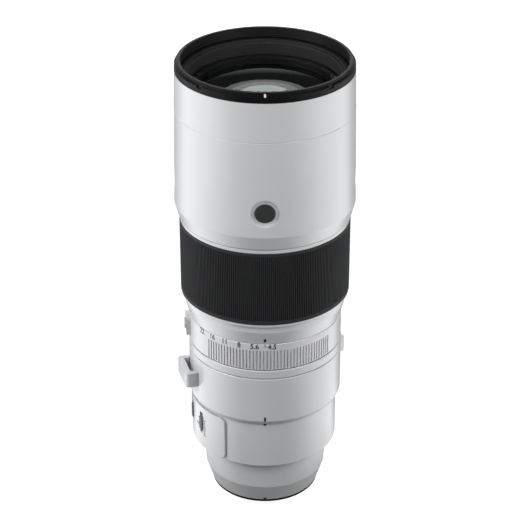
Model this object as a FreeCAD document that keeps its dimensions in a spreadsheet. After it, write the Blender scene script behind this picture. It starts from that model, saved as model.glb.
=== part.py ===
import FreeCAD, Part
import Sketcher
import math
import os

# A white 400 mm telephoto lens, standing on its rear mount with the front glass up.
# Lengths are in millimetres and angles in degrees.
# The origin is the middle of the rear flange face, +Z runs along the optical axis to the front,
# and the index marks lie on the -Y side. An azimuth is counted from -Y towards +X.

doc = FreeCAD.newDocument("TelephotoLens")
sheet = doc.addObject("Spreadsheet::Sheet", "Sizes")
sub_parts = {}

# Every driving size, in millimetres or degrees
SIZES = {
    # Clearances shared by many pieces
    "running_fit": 0.1,  # radial play of a ring that turns on a barrel
    "seam_gap": 0.3,  # open seam between neighbouring rings
    "loose_fit": 0.3,  # radial play between fixed nested pieces
    "slide_fit": 0.2,  # play of a small button or slider in its opening
    "glue_line": 0.05,  # thin joint under a part that is bonded or screwed to a curved face
    "weld": 0.5,  # how far joined forms of one piece reach into each other
    "overrun": 1.0,  # how far a cut runs past the face it opens
    # Heights along the axis, each counted from the piece below
    "plate_thickness": 2.0,  # rear flange plate
    "seal_lift": 0.4,  # seal edge above the flange face
    "cone_edge": 14.0,  # upper edge of the rear cone
    "rear_barrel_top": 33.9,  # underside of the switch section
    "switch_length": 30.7,  # switch section
    "collar_length": 31.5,  # rotating collar
    "band_length": 5.5,  # fixed band above the collar
    "aperture_length": 17.5,  # aperture ring
    "slope_length": 8.1,  # sloped shoulder above the aperture ring
    "neck_length": 4.4,  # plain neck under the focus ring
    "lower_rim": 2.2,  # white rim below the rubber
    "grip_length": 45.7,  # rubber grip
    "upper_rim": 2.3,  # white rim above the rubber
    "barrel_taper": 8.1,  # tapered lower end of the front barrel
    "barrel_length": 57.0,  # front barrel above its taper
    "name_length": 22.9,  # foremost white barrel
    "front_band": 3.6,  # cylindrical part of the black front ring
    "front_bevel": 2.2,  # bevelled part of the black front ring
    # Radii of the visible barrels
    "seal_inset": 0.3,  # rubber seal inside the foot of the cone
    "barrel_draft": 0.8,  # rear barrel narrows to its cone by this
    "cone_drop": 3.8,  # rear cone narrows by this
    "ledge_width": 5.7,  # ledge under the switch section
    "switch_inset": 2.6,  # switch section inside the collar
    "collar_step": 0.2,  # collar and band stand out from the aperture ring
    "slope_drop": 2.2,  # fall of the sloped shoulder
    "neck_step": 1.5,  # plain neck stands out from that tube
    "rim_inset": 0.3,  # white rims below the crests of the ribs
    "grip_inset": 0.3,  # rubber ribs inside the barrel's lower end
    "bulge_radius": 52.25,  # widest part of the front barrel
    "taper_inset": 2.35,  # front barrel narrows to its lower end by this
    "hairline_taper": 1.05,  # front barrel narrows to its upper joint by this
    "hairline": 0.25,  # bevels that draw that joint as a fine line
    "band_inset": 0.7,  # black front ring inside the white barrel's upper edge
    "bevel_inset": 1.2,  # front edge inside the black ring's band
    "lip_wall": 2.35,  # lip round the M95 filter thread
    # Radii of bearing and inner faces
    "collar_wall": 3.0,  # collar
    "aperture_wall": 1.7,  # aperture ring
    "sleeve_wall": 1.9,  # focus sleeve under the rubber
    "rubber_thickness": 1.6,  # rubber grip
    "tube_wall": 3.0,  # rear tube under the collar
    "barrel_wall": 3.25,  # wall of the front barrel at its widest
    "core_gap": 0.7,  # core tube inside the rear barrel's bore
    "core_wall": 2.5,  # wall of the optical core tube
    "flange_step": 3.0,  # thickness of the inner joining flanges
    "edge_break": 0.4,  # small bevel on outer edges
    # Rear mount: flange plate with a three-claw bayonet
    "seal_width": 1.3,  # rubber seal round the flange plate
    "bayonet_depth": 5.6,  # bayonet below the flange face
    "screw_to_bayonet": 5.9,  # bayonet cylinder inside the screw circle
    "bayonet_wall": 1.6,  # bayonet cylinder
    "claw_reach": 1.4,  # bayonet claws stand out from the cylinder
    "claw_height": 1.6,  # bayonet claws
    "claw_sweep": 48,  # width of a claw as an angle
    "claw_count": 3,  # bayonet claws
    "screw_inset": 4.5,  # mount screws inside the flange plate's edge
    "screw_count": 4,  # mount screws
    "screw_shank": 0.9,  # mount screw shank radius
    "screw_head": 1.75,  # mount screw head radius
    "head_height": 1.0,  # mount screw head
    "screw_length": 6.5,  # mount screw
    "screw_end_play": 0.3,  # pilot hole beyond the end of its screw
    "screw_azimuth": 45,  # first mount screw
    "pin_hole_play": 0.05,  # play of screws and pins in their holes
    # Rear barrel: a cone over the mount that widens to a short cylinder
    "rear_wall": 4.0,  # rear barrel
    "boss_wall": 1.9,  # mount screws from the bore of their ring
    "boss_inset": 0.4,  # cone's inner face inside the flange plate's edge
    "mount_boss_height": 5.5,  # ring that takes the mount screws
    # Contacts and the black baffle in the throat
    "baffle_cover": 6.5,  # rear baffle reaches into the throat
    "baffle_lap": 4.0,  # rear baffle laps over the flange plate
    "baffle_slope": 3.5,  # flare of the baffle opening
    "baffle_sheet": 1.2,  # baffle where it lies on the flange plate
    "baffle_drop": 1.0,  # rear baffle below the flange face
    "baffle_lift": 0.4,  # edge of the baffle opening above the flange face
    "contact_sweep": 96,  # contact block as an angle
    "contact_depth": 4.2,  # contact block reaches into the throat
    "contact_foot": 4.6,  # contact block below the flange face
    "pin_inset": 2.2,  # contacts inside the throat's wall
    "pin_radius": 0.7,  # contact pin
    "pin_count": 10,  # contact pins
    "pin_sweep": 81,  # first contact to last contact
    "pin_end_play": 0.1,  # well beyond the end of its contact pin
    "pin_rise": 0.4,  # contacts stand proud of their block
    "pin_length": 2.4,  # contact pin
    # Switch section: a plain white barrel with an inner flange at its lower end
    "switch_wall": 3.4,  # wall of the switch section
    # Raised switch panel on the left, with three slots for its sliders
    "panel_rise": 1.5,  # panel above the switch section
    "panel_sweep": 92,  # panel as an angle
    "panel_azimuth": -79,  # middle of the panel
    "panel_margin": 1.5,  # panel to the edges of the switch section
    "panel_corner": 3.0,  # rounded panel corner
    "slot_pitch": 19.5,  # angle between sliders
    "slot_width": 3.6,  # slider slot
    "slot_length": 14.4,  # slider slot
    "slot_lift": 18.0,  # slot middle above the section's lower edge
    "knob_length": 8.0,  # slider knob
    "knob_rise": 0.9,  # slider knob above the panel
    "slot_count": 3,  # sliders
    "slider_lift": 0.25,  # slider above the switch section
    "groove_width": 0.7,  # width of a grip groove
    "groove_depth": 0.45,  # depth of a grip groove
    "groove_pitch": 1.5,  # between the grip grooves of a slider
    "groove_count": 5,  # grip grooves of a slider
    "board_thickness": 1.2,  # ring-shaped circuit board
    "board_gap": 1.1,  # circuit board round the core tube
    # Rear tube: carries the collar, shows as the band above it and carries the aperture ring
    "tube_spigot": 5.5,  # rear tube inside the sloped shoulder
    # Collar with its tripod neck, its clamp boss and two strap lugs
    "collar_bevel": 2.6,  # bevel at the collar's lower edge
    "neck_width": 28.0,  # tripod neck at the collar
    "neck_foot_width": 25.0,  # tripod neck at the foot
    "neck_low": 3.0,  # tripod neck above the collar's lower edge
    "neck_high": 2.0,  # tripod neck below the collar's upper edge
    "neck_draft": 1.5,  # draft of the neck along the axis
    "neck_reach": 14.5,  # tripod neck from the collar to the foot
    "boss_radius": 6.5,  # clamp boss
    "boss_rise": 5.0,  # clamp boss above the collar
    "clamp_azimuth": -150,  # clamp boss
    "clamp_shank": 2.5,  # clamp screw
    "foot_screw_pitch": 16.0,  # foot screws along the axis
    "foot_screw_shank": 2.0,  # foot screw shank
    "foot_screw_depth": 8.0,  # foot screw in the neck
    "foot_screw_side": 7.0,  # foot screws to the side
    "lug_rise": 6.3,  # strap lug above the collar
    "lug_bar": 3.4,  # outer bar of a strap lug
    "lug_width": 22.0,  # strap lug along its bar
    "lug_leg": 3.0,  # legs of a strap lug
    "lug_height": 9.2,  # strap lug
    "lug_lift": 12.8,  # strap lug above the collar's lower edge
    "lug_corner": 2.4,  # rounded lug corner
    "left_lug_azimuth": -74,  # left strap lug
    "right_lug_azimuth": 123,  # right strap lug
    # Tripod foot with dovetail flanks, and its screws
    "foot_thickness": 9.0,  # tripod foot
    "foot_length": 84.0,  # tripod foot
    "foot_width": 38.0,  # tripod foot across the dovetail
    "foot_break": 1.8,  # bevel of the foot towards the barrel
    "foot_land": 1.0,  # plain edge of the dovetail
    "dovetail_depth": 4.0,  # height of the dovetail flank
    "tripod_hole": 2.6,  # 1/4-20 hole, minor radius
    "tripod_hole_large": 4.0,  # 3/8-16 hole, minor radius
    "tripod_depth": 6.5,  # tripod holes
    "tripod_small_lift": 24.0,  # 1/4-20 hole from the foot's middle
    "tripod_large_lift": -24.0,  # 3/8-16 hole from the foot's middle
    "foot_head": 3.6,  # foot screw head
    "foot_head_depth": 4.0,  # sink for a foot screw head
    "foot_head_sink": 0.6,  # foot screw head below the face of the foot
    "foot_screw_gap": 1.0,  # hole beyond the end of a foot screw
    # Clamp knob: a scalloped head on the clamp screw
    "knob_radius": 9.0,  # clamp knob
    "knob_height": 9.0,  # clamp knob
    "scallop_low": 1.5,  # plain foot of the clamp knob
    "scallop_reach": 9.6,  # scallop middles from the knob's axis
    "clamp_gap": 0.5,  # released clamp screw above the rear tube
    "scallop_radius": 1.6,  # scallops of the clamp knob
    "scallop_count": 10,  # scallops of the clamp knob
    # Aperture ring with its ribbed stretch and the boss of its lock button
    "rib_low": 0.6,  # ribbed stretch above the ring's lower edge
    "rib_length": 12.4,  # ribbed stretch along the axis
    "rib_pitch": 2.5,  # angle between ribs
    "rib_count": 41,  # grooves in the ribbed stretch
    "rib_start": -46,  # first groove
    "rib_groove": 0.95,  # width of a groove
    "rib_depth": 0.5,  # depth of a groove
    "lock_azimuth": -84,  # lock button
    "lock_boss_width": 11.0,  # boss round the lock button
    "lock_boss_height": 13.0,  # boss round the lock button
    "lock_boss_corner": 2.5,  # rounded corner of the boss
    "lock_boss_rise": 2.0,  # lock boss above the aperture ring
    "lock_radius": 3.3,  # lock button
    "lock_rise": 0.9,  # lock button above its boss
    "lock_web": 0.9,  # ring wall left under the lock button
    "lock_travel": 0.8,  # press of the lock button
    # Middle barrel: sloped shoulder, plain neck and the tube under the focus ring
    "mid_wall": 2.6,  # tube under the focus ring
    "tube_reach": 3.8,  # middle barrel inside the front barrel
    "shoulder_step": 0.15,  # shoulder edge below the aperture ring's radius
    "soft_edge": 0.4,  # soft corner between slope and cylinder
    # Focus ring: a sleeve with two white rims, and the ribbed rubber between them
    "rim_break": 0.6,  # bevel of the lower white rim
    "grip_low_band": 2.4,  # smooth rubber below the ribs
    "grip_high_band": 1.8,  # smooth rubber above the ribs
    "grip_ribs": 270,  # ribs round the rubber
    "grip_groove_depth": 0.7,  # depth between the ribs
    "grip_rib_share": 0.5,  # part of a pitch that is rib crest
    # Front barrel: long white tube with a tapered foot and four dished function buttons
    "dish_radius": 8.1,  # dish round a function button
    "dish_depth": 1.55,  # dish below the widest barrel radius
    "cap_radius": 5.6,  # function button
    "cap_inset": 0.75,  # button face below the widest barrel radius
    "cap_round": 0.5,  # rounded rim of a function button
    "switch_gap": 0.1,  # pressed button to its switch
    "cap_flange": 6.9,  # hidden flange of a function button
    "cap_travel": 0.6,  # press of a function button
    "button_count": 4,  # function buttons
    "button_lift": 14.8,  # function buttons above the widest point
    "flange_inset": 1.0,  # button flange inside the barrel's bore
    "flange_thick": 0.8,  # button flange
    "bracket_half": 8.6,  # half width of a switch bracket
    "bracket_wall": 1.2,  # sheet of a switch bracket
    "bracket_height": 10.0,  # switch bracket along the axis
    "switch_half": 3.0,  # half width of the small switch
    "bracket_depth": 5.4,  # floor of a switch bracket inside the barrel's bore
    "leg_inset": 1.0,  # legs of a switch bracket inside the barrel's bore
    # Foremost white barrel; its inner shoulder carries the front cell
    "seat_rise": 3.7,  # seat of the front cell above the joint
    "name_wall_step": 0.1,  # step between the bores of the front barrels
    "band_step": 0.15,  # white barrel stands proud of the black ring
    "spigot_wall": 2.8,  # step inside the joint of the front barrels
    "spigot_depth": 5.0,  # joint between the front barrels
    # Black front ring: filter thread inside, bevelled lip, four notches that take the hood
    "cell_flange": 2.5,  # flange of the front cell
    "ring_floor": 6.4,  # front recess down to its retaining ring
    "thread_length": 5.0,  # full filter thread
    "thread_lead": 0.5,  # lead-in and run-out of the filter thread
    "relief_depth": 0.6,  # relief below the filter thread
    "lip_side": 0.9,  # upright side of the lip
    "lip_break": 0.3,  # small bevel round the lip
    "notch_width": 3.4,  # hood notch
    "notch_height": 2.2,  # hood notch
    "notch_depth": 0.8,  # hood notch
    "notch_azimuth": 45.5,  # first hood notch
    "notch_count": 4,  # hood notches
    # Front cell, its two large elements and the ring that holds them
    "element_inset": 1.85,  # front cell's wall round the foremost element
    "seat_width": 3.3,  # seat under the foremost element
    "element_lift": 3.0,  # rest of the foremost element above the cell's seat
    "element_edge": 6.5,  # rim of the foremost element
    "element_curve": 190.0,  # front radius of the foremost element
    "second_inset": 3.9,  # front cell's wall round the second element
    "second_thickness": 8.0,  # second element
    "second_curve": 260.0,  # front radius of the second element
    "second_hollow": 150.0,  # rear radius of the second element
    "second_hollow_depth": 4.0,  # hollow of the second element
    "cell_drop": 13.0,  # front cell below its flange
    "retainer_flange": 2.6,  # flange of the front retaining ring
    "second_drop": 1.5,  # second element below the cell's seat
    "waist_inset": 2.5,  # ledge above the second element
    "element_play": 0.1,  # glass to its seat
    "retainer_cover": 2.5,  # retaining ring laps over the foremost element
    "retainer_nose": 0.3,  # retaining ring above the rim of the glass
    "retainer_land": 1.9,  # step inside the retaining ring
    "retainer_step": 0.9,  # step below the face of the retaining ring
    "retainer_bevel": 0.6,  # bevel of the retaining ring
    # Stepped baffle behind the front cell, narrowing to the core tube
    "baffle_wall": 1.2,  # wall of the stepped baffle
    "baffle_steps": 6,  # steps of the baffle
    "baffle_inset": 1.4,  # wide end of the baffle inside the second element's edge
    "baffle_lip": 2.0,  # rim of the baffle under the front cell
    # Core tube that carries the moving groups, hung on the joint of the barrels
    "core_low": 16.0,  # lower end of the core tube above the flange
    # Focus group: a carriage on two rods inside a frame
    "frame_wall": 1.5,  # wall of the frames inside the core
    "frame_drop": 3.0,  # focus frame below the top of the core tube
    "focus_frame_length": 40.0,  # focus frame
    "frame_lip": 2.5,  # end walls of the focus frame
    "frame_ledge": 10.2,  # end walls of the frames inside the core
    "rod_inset_radius": 5.7,  # guide rods inside the focus frame's outer face
    "rod_radius": 1.5,  # guide rod
    "rod_inset": 0.5,  # rod ends inside the end faces of the frame
    "bush_wall": 1.5,  # bush round a guide rod
    "rod_count": 2,  # guide rods
    "carriage_length": 12.0,  # focus carriage
    "carriage_gap": 1.0,  # focus carriage inside its frame
    "carriage_rest": 1.0,  # resting carriage above the frame's lower wall
    "group_inset": 12.2,  # focus element inside the core
    "group_thickness": 7.0,  # focus element
    "group_curve": 60.0,  # front radius of the focus element
    "group_hollow": 48.0,  # rear radius of the focus element
    "group_hollow_depth": 2.2,  # hollow of the focus element
    "carriage_plate": 4.0,  # plate of the focus carriage
    "holder_ledge": 2.0,  # ledge under the rim of a small element
    "holder_wall": 2.5,  # wall of a lens holder from the glass outwards
    "holder_slope": 1.0,  # slope between a holder's plate and its wall
    "holder_floor": 2.0,  # floor of a lens holder under the glass
    # Iris: nine blades, each on its own pivot pin in the housing and its own drive pin in the ring above
    "iris_gap": 15.1,  # from the iris cover to the focus frame
    "iris_cover_thickness": 1.2,  # cover of the iris housing
    "blade_play": 0.3,  # under the lowest blade, and over the drive ring
    "drive_play": 0.4,  # from the highest blade to the drive ring
    "iris_floor": 1.5,  # floor of the iris housing
    "blade_cover": 0.1,  # open blades behind the edge of the housing's opening
    "blade_width": 6.5,  # iris blade
    "blade_inset": 2.2,  # open blades inside their pivots
    "blade_thickness": 0.2,  # iris blade
    "blade_pitch": 0.3,  # height from blade to blade
    "blade_span": 100,  # iris blade as an angle
    "blade_count": 9,  # iris blades
    "pivot_inset": 2.2,  # blade pivots inside the housing's wall
    "pivot_depth": 1.0,  # pivot holes in the housing floor
    "pivot_radius": 0.6,  # blade pins
    "pin_arm": 4.0,  # drive pin from its pivot
    "blade_ear": 1.3,  # blade sheet round its pins
    "blade_tip": 4,  # pointed end of a blade as an angle
    "blade_swing": 31,  # swing of a blade from open to closed
    "ring_turn": 20,  # turn of the drive ring from open to closed
    "drive_width": 3.4,  # drive ring reaches over the open blades
    "cam_play": 0.3,  # cam slot round a drive pin
    "drive_ring_height": 1.2,  # iris drive ring
    "iris_wall": 0.9,  # wall of the iris housing
    # Stabiliser: a frame that shifts sideways in its base, and a lens holder that shifts in the frame
    "base_gap": 18.0,  # from the stabiliser base to the iris housing
    "base_length": 20.0,  # stabiliser base
    "shift": 1.0,  # stabiliser travel to each side
    "stage_gap": 0.2,  # between the stabiliser stages
    "stage_height": 2.4,  # stabiliser frame
    "holder_height": 8.0,  # stabilised lens holder
    "steady_inset": 14.7,  # stabilised element inside the core
    "steady_thickness": 5.5,  # stabilised element
    "steady_curve": 50.0,  # front radius of the stabilised element
    "steady_hollow": 38.0,  # rear radius of the stabilised element
    "steady_hollow_depth": 1.5,  # hollow of the stabilised element
    # Rear cell and the rearmost element
    "cell_length": 24.0,  # rear cell
    "rear_inset": 13.2,  # rearmost element inside the core
    "rear_cell_lift": 0.5,  # rear cell above the end of the core tube
    "rear_cell_wall": 2.0,  # upper edge of the rear cell
    "rear_seat_length": 12.0,  # straight seat in the rear cell
    "rear_thickness": 7.0,  # rearmost element
    "rear_curve": 42.0,  # front radius of the rearmost element
    "rear_hollow": 90.0,  # rear radius of the rearmost element
    "rear_hollow_depth": 1.0,  # hollow of the rearmost element
}


class Size:
    """A length or an angle, known as a number and as an expression on the spreadsheet."""

    def __init__(self, value, text):
        self.value = float(value)
        self.text = text

    def __add__(self, other):
        other = as_size(other)
        return Size(self.value + other.value, "(" + self.text + " + " + other.text + ")")

    def __radd__(self, other):
        return as_size(other) + self

    def __sub__(self, other):
        other = as_size(other)
        return Size(self.value - other.value, "(" + self.text + " - " + other.text + ")")

    def __rsub__(self, other):
        return as_size(other) - self

    def __mul__(self, other):
        other = as_size(other)
        return Size(self.value * other.value, self.text + " * " + other.text)

    def __rmul__(self, other):
        return as_size(other) * self

    def __truediv__(self, other):
        other = as_size(other)
        return Size(self.value / other.value, "(" + self.text + ") / (" + other.text + ")")

    def __neg__(self):
        return Size(-self.value, "(0 - " + self.text + ")")


def as_size(number):
    """Plain numbers take part in expressions too."""
    if isinstance(number, Size):
        return number
    if number < 0:
        return Size(number, "(0 - " + str(-number) + ")")
    return Size(number, str(number))


def sine(angle):
    angle = as_size(angle)
    return Size(math.sin(math.radians(angle.value)), "sin(" + angle.text + ")")


def cosine(angle):
    angle = as_size(angle)
    return Size(math.cos(math.radians(angle.value)), "cos(" + angle.text + ")")


def square_root(number):
    return Size(math.sqrt(number.value), "sqrt(" + number.text + ")")


class Sheet:
    """The driving sizes on the spreadsheet, each known by its name."""

    def __init__(self, values):
        for row, (name, value) in enumerate(values.items(), 1):
            sheet.set("A" + str(row), name)
            sheet.set("B" + str(row), str(value))
            sheet.setAlias("B" + str(row), name)
            setattr(self, name, Size(value, "Sizes." + name))


s = Sheet(SIZES)


def bind(target, prop, size):
    """Let the spreadsheet drive one property."""
    target.setExpression(prop, as_size(size).text)


# Heights along the axis, each counted from the piece below
switch_bottom = s.rear_barrel_top
switch_top = switch_bottom + s.switch_length
collar_bottom = switch_top + s.seam_gap
collar_top = collar_bottom + s.collar_length
band_bottom = collar_top + s.seam_gap
band_top = band_bottom + s.band_length
aperture_bottom = band_top + s.seam_gap
aperture_top = aperture_bottom + s.aperture_length
slope_bottom = aperture_top + s.seam_gap
slope_top = slope_bottom + s.slope_length
neck_top = slope_top + s.neck_length
focus_bottom = neck_top + s.seam_gap
grip_bottom = focus_bottom + s.lower_rim
grip_top = grip_bottom + s.grip_length
focus_top = grip_top + s.upper_rim
barrel_bottom = focus_top + s.seam_gap * 2
taper_top = barrel_bottom + s.barrel_taper
barrel_top = taper_top + s.barrel_length
name_top = barrel_top + s.name_length
band_edge = name_top + s.front_band
lip_top = band_edge + s.front_bevel

# Radii, each taken from the piece round it or under it
hairline_radius = s.bulge_radius - s.hairline_taper
band_radius = hairline_radius - s.band_inset
lip_radius = band_radius - s.bevel_inset
filter_minor = lip_radius - s.lip_wall
filter_relief = filter_minor + s.relief_depth
taper_radius = s.bulge_radius - s.taper_inset
barrel_bore = s.bulge_radius - s.barrel_wall
spigot_bore = barrel_bore - s.spigot_wall
dish_floor = s.bulge_radius - s.dish_depth
cap_top = s.bulge_radius - s.cap_inset
flange_face = barrel_bore - s.flange_inset
bracket_floor = barrel_bore - s.bracket_depth
leg_top = barrel_bore - s.leg_inset
grip_radius = taper_radius - s.grip_inset
rim_radius = grip_radius - s.rim_inset
grip_seat = grip_radius - s.rubber_thickness
focus_bearing = grip_seat - s.sleeve_wall - s.running_fit
mid_bore = focus_bearing - s.mid_wall
neck_radius = focus_bearing + s.neck_step
aperture_radius = neck_radius - s.slope_drop
aperture_bearing = aperture_radius - s.aperture_wall - s.running_fit
lock_boss_top = aperture_radius + s.lock_boss_rise
lock_top = lock_boss_top + s.lock_rise
collar_radius = aperture_radius + s.collar_step
collar_bearing = collar_radius - s.collar_wall - s.running_fit
rear_tube_bore = collar_bearing - s.tube_wall
boss_top = collar_radius + s.boss_rise
foot_distance = collar_radius + s.neck_reach
collar_inner = collar_bearing + s.running_fit
neck_root_distance = collar_inner + s.loose_fit
lug_reach = collar_radius + s.lug_rise
switch_radius = collar_radius - s.switch_inset
rear_radius = switch_radius - s.ledge_width
rear_bore = rear_radius - s.rear_wall
cone_radius = rear_radius - s.barrel_draft
cone_low_radius = cone_radius - s.cone_drop
seal_radius = cone_low_radius - s.seal_inset
plate_radius = seal_radius - s.seal_width
mount_boss_reach = plate_radius - s.boss_inset
screw_circle = plate_radius - s.screw_inset
mount_boss_bore = screw_circle - s.boss_wall
bayonet_radius = screw_circle - s.screw_to_bayonet
throat_radius = bayonet_radius - s.bayonet_wall
claw_radius = bayonet_radius + s.claw_reach
baffle_bore = throat_radius - s.baffle_cover
baffle_throat = baffle_bore + s.baffle_slope
baffle_flange = throat_radius + s.baffle_lap
contact_inner = throat_radius - s.contact_depth
pin_circle = throat_radius - s.pin_inset
core_outer = rear_bore - s.core_gap
core_bore = core_outer - s.core_wall
board_bore = core_outer + s.board_gap
element_radius = filter_minor - s.loose_fit - s.element_inset
element_seat = element_radius - s.seat_width
element_rise = square_root(s.element_curve * s.element_curve - element_radius * element_radius)
element_crown = s.element_curve - element_rise
retainer_bore = element_radius - s.retainer_cover
bore_rise = square_root(s.element_curve * s.element_curve - retainer_bore * retainer_bore)
second_radius = spigot_bore - s.loose_fit - s.second_inset
cell_waist = second_radius - s.waist_inset
baffle_top_radius = second_radius - s.baffle_inset
unit_radius = core_bore - s.loose_fit
rod_circle = unit_radius - s.rod_inset_radius
frame_opening = unit_radius - s.frame_ledge
group_radius = unit_radius - s.group_inset
steady_radius = unit_radius - s.steady_inset
rear_element_radius = unit_radius - s.rear_inset
carriage_radius = unit_radius - s.frame_wall - s.carriage_gap
pivot_circle = unit_radius - s.iris_wall - s.pivot_inset
blade_outer = pivot_circle - s.blade_inset
blade_inner = blade_outer - s.blade_width
iris_opening = blade_inner - s.blade_cover
drive_bore = blade_outer - s.drive_width


def register(label, thing):
    thing.Label = label
    sub_parts[label] = thing
    return thing


def new_body(label):
    return doc.addObject("PartDesign::Body", label)


def origin_feature(body, role):
    """One of the body's own origin planes or axes."""
    for feature in body.Origin.OriginFeatures:
        if feature.Role == role:
            return feature
    raise ValueError("no origin feature " + role)


def azimuth_sketch(body, name, azimuth=0, distance=0):
    """A sketch square to the direction at an azimuth, at a distance from the axis; its up is +Z."""
    sketch = body.newObject("Sketcher::SketchObject", name)
    sketch.AttachmentSupport = [(origin_feature(body, "XZ_Plane"), "")]
    sketch.MapMode = "FlatFace"
    azimuth = as_size(azimuth)
    distance = as_size(distance)
    turn = FreeCAD.Rotation(FreeCAD.Vector(0, 1, 0), azimuth.value)
    side = distance * sine(azimuth)
    depth = distance * cosine(azimuth)
    sketch.AttachmentOffset = FreeCAD.Placement(FreeCAD.Vector(side.value, 0, depth.value), turn)
    if "Sizes." in azimuth.text or "Sizes." in distance.text:
        bind(sketch, "AttachmentOffset.Base.x", side)
        bind(sketch, "AttachmentOffset.Base.z", depth)
    if "Sizes." in azimuth.text:
        bind(sketch, "AttachmentOffset.Rotation.Angle", azimuth)
    return sketch


def section_sketch(body, name, azimuth=90):
    """A sketch through the optical axis whose right half lies at an azimuth."""
    return azimuth_sketch(body, name, as_size(azimuth) - 90)


def level_sketch(body, name, height, azimuth=0):
    """A sketch square to the axis at a height; its down points along an azimuth."""
    sketch = body.newObject("Sketcher::SketchObject", name)
    sketch.AttachmentSupport = [(origin_feature(body, "XY_Plane"), "")]
    sketch.MapMode = "FlatFace"
    height = as_size(height)
    azimuth = as_size(azimuth)
    turn = FreeCAD.Rotation(FreeCAD.Vector(0, 0, 1), azimuth.value)
    sketch.AttachmentOffset = FreeCAD.Placement(FreeCAD.Vector(0, 0, height.value), turn)
    bind(sketch, "AttachmentOffset.Base.z", height)
    if "Sizes." in azimuth.text:
        bind(sketch, "AttachmentOffset.Rotation.Angle", azimuth)
    return sketch


def hold_point(sketch, index, end, across, up, rules, bound):
    """Collect the rules that fix one point, and which of them the spreadsheet drives."""
    for kind, axis, place in (("DistanceX", -2, across), ("DistanceY", -1, up)):
        if abs(place.value) < 1e-9:
            rules.append(Sketcher.Constraint("PointOnObject", index, end, axis))
        elif place.value > 0:
            bound.append((len(rules), place))
            rules.append(Sketcher.Constraint(kind, -1, 1, index, end, place.value))
        else:
            bound.append((len(rules), -place))
            rules.append(Sketcher.Constraint(kind, index, end, -1, 1, -place.value))


def apply_rules(sketch, rules, bound):
    first = len(sketch.Constraints)
    sketch.addConstraint(rules)
    for position, place in bound:
        name = "size" + str(first + position)
        sketch.renameConstraint(first + position, name)
        bind(sketch, "Constraints." + name, place)


def outline(sketch, corners):
    """A closed outline through corners, each held at its bound place."""
    corners = [(as_size(across), as_size(up)) for across, up in corners]
    first = len(sketch.Geometry)
    lines = []
    for here, there in zip(corners, corners[1:] + corners[:1]):
        start = FreeCAD.Vector(here[0].value, here[1].value, 0)
        end = FreeCAD.Vector(there[0].value, there[1].value, 0)
        lines.append(Part.LineSegment(start, end))
    sketch.addGeometry(lines)
    rules = []
    bound = []
    count = len(corners)
    for number in range(count):
        follower = first + (number + 1) % count
        rules.append(Sketcher.Constraint("Coincident", first + number, 2, follower, 1))
    for number, (across, up) in enumerate(corners):
        hold_point(sketch, first + number, 1, across, up, rules, bound)
    apply_rules(sketch, rules, bound)


def ring_outline(sketch, across, up, radius):
    """A circle held at its bound place and radius."""
    across = as_size(across)
    up = as_size(up)
    radius = as_size(radius)
    first = len(sketch.Geometry)
    middle = FreeCAD.Vector(across.value, up.value, 0)
    sketch.addGeometry(Part.Circle(middle, FreeCAD.Vector(0, 0, 1), radius.value))
    rules = []
    bound = []
    hold_point(sketch, first, 3, across, up, rules, bound)
    bound.append((len(rules), radius))
    rules.append(Sketcher.Constraint("Radius", first, radius.value))
    apply_rules(sketch, rules, bound)


def box_outline(sketch, left, right, low, high):
    outline(sketch, [(left, low), (right, low), (right, high), (left, high)])


def revolve(body, name, sketch, sweep=None, cut=False):
    """Turn a sketch about the optical axis; a sweep is spread evenly to both sides."""
    kind = "PartDesign::Groove" if cut else "PartDesign::Revolution"
    feature = body.newObject(kind, name)
    feature.Profile = sketch
    feature.ReferenceAxis = (sketch, ["V_Axis"])
    if sweep is None:
        feature.Angle = 360
    else:
        feature.Midplane = True
        bind(feature, "Angle", sweep)
    return feature


def raise_pad(body, name, sketch, length, cut=False, reverse=False):
    """Pad or pocket along the sketch's normal; a pocket is turned so that both go the same way."""
    kind = "PartDesign::Pocket" if cut else "PartDesign::Pad"
    feature = body.newObject(kind, name)
    feature.Profile = sketch
    feature.Reversed = reverse != cut
    bind(feature, "Length", length)
    return feature


def around(body, name, features, count, sweep=360):
    """Repeat features about the optical axis."""
    pattern = body.newObject("PartDesign::PolarPattern", name)
    pattern.Originals = features
    pattern.Axis = (origin_feature(body, "Z_Axis"), [""])
    bind(pattern, "Angle", sweep)
    bind(pattern, "Occurrences", count)
    body.Tip = pattern
    return pattern


def turned(label, corners):
    """A sub-part revolved from its half section of (radius, height) corners."""
    body = new_body(label)
    sketch = section_sketch(body, label + "_section")
    outline(sketch, corners)
    revolve(body, label + "_turned", sketch)
    return register(label, body)


def round_edges(body, name, radius, wanted):
    """Round the edges of the body that a test picks."""
    doc.recompute()
    base = body.Tip
    edges = ["Edge" + str(number) for number, edge in enumerate(base.Shape.Edges, 1) if wanted(edge)]
    if not edges:
        raise ValueError("nothing to round in " + name)
    feature = body.newObject("PartDesign::Fillet", name)
    feature.Base = (base, edges)
    bind(feature, "Radius", radius)
    return feature


def place_turn(thing, azimuth):
    """Turn a whole sub-part about the optical axis."""
    azimuth = as_size(azimuth)
    turn = FreeCAD.Rotation(FreeCAD.Vector(0, 0, 1), azimuth.value)
    thing.Placement = FreeCAD.Placement(FreeCAD.Vector(0, 0, 0), turn)
    if "Sizes." in azimuth.text:
        bind(thing, "Placement.Rotation.Angle", azimuth)


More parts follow.
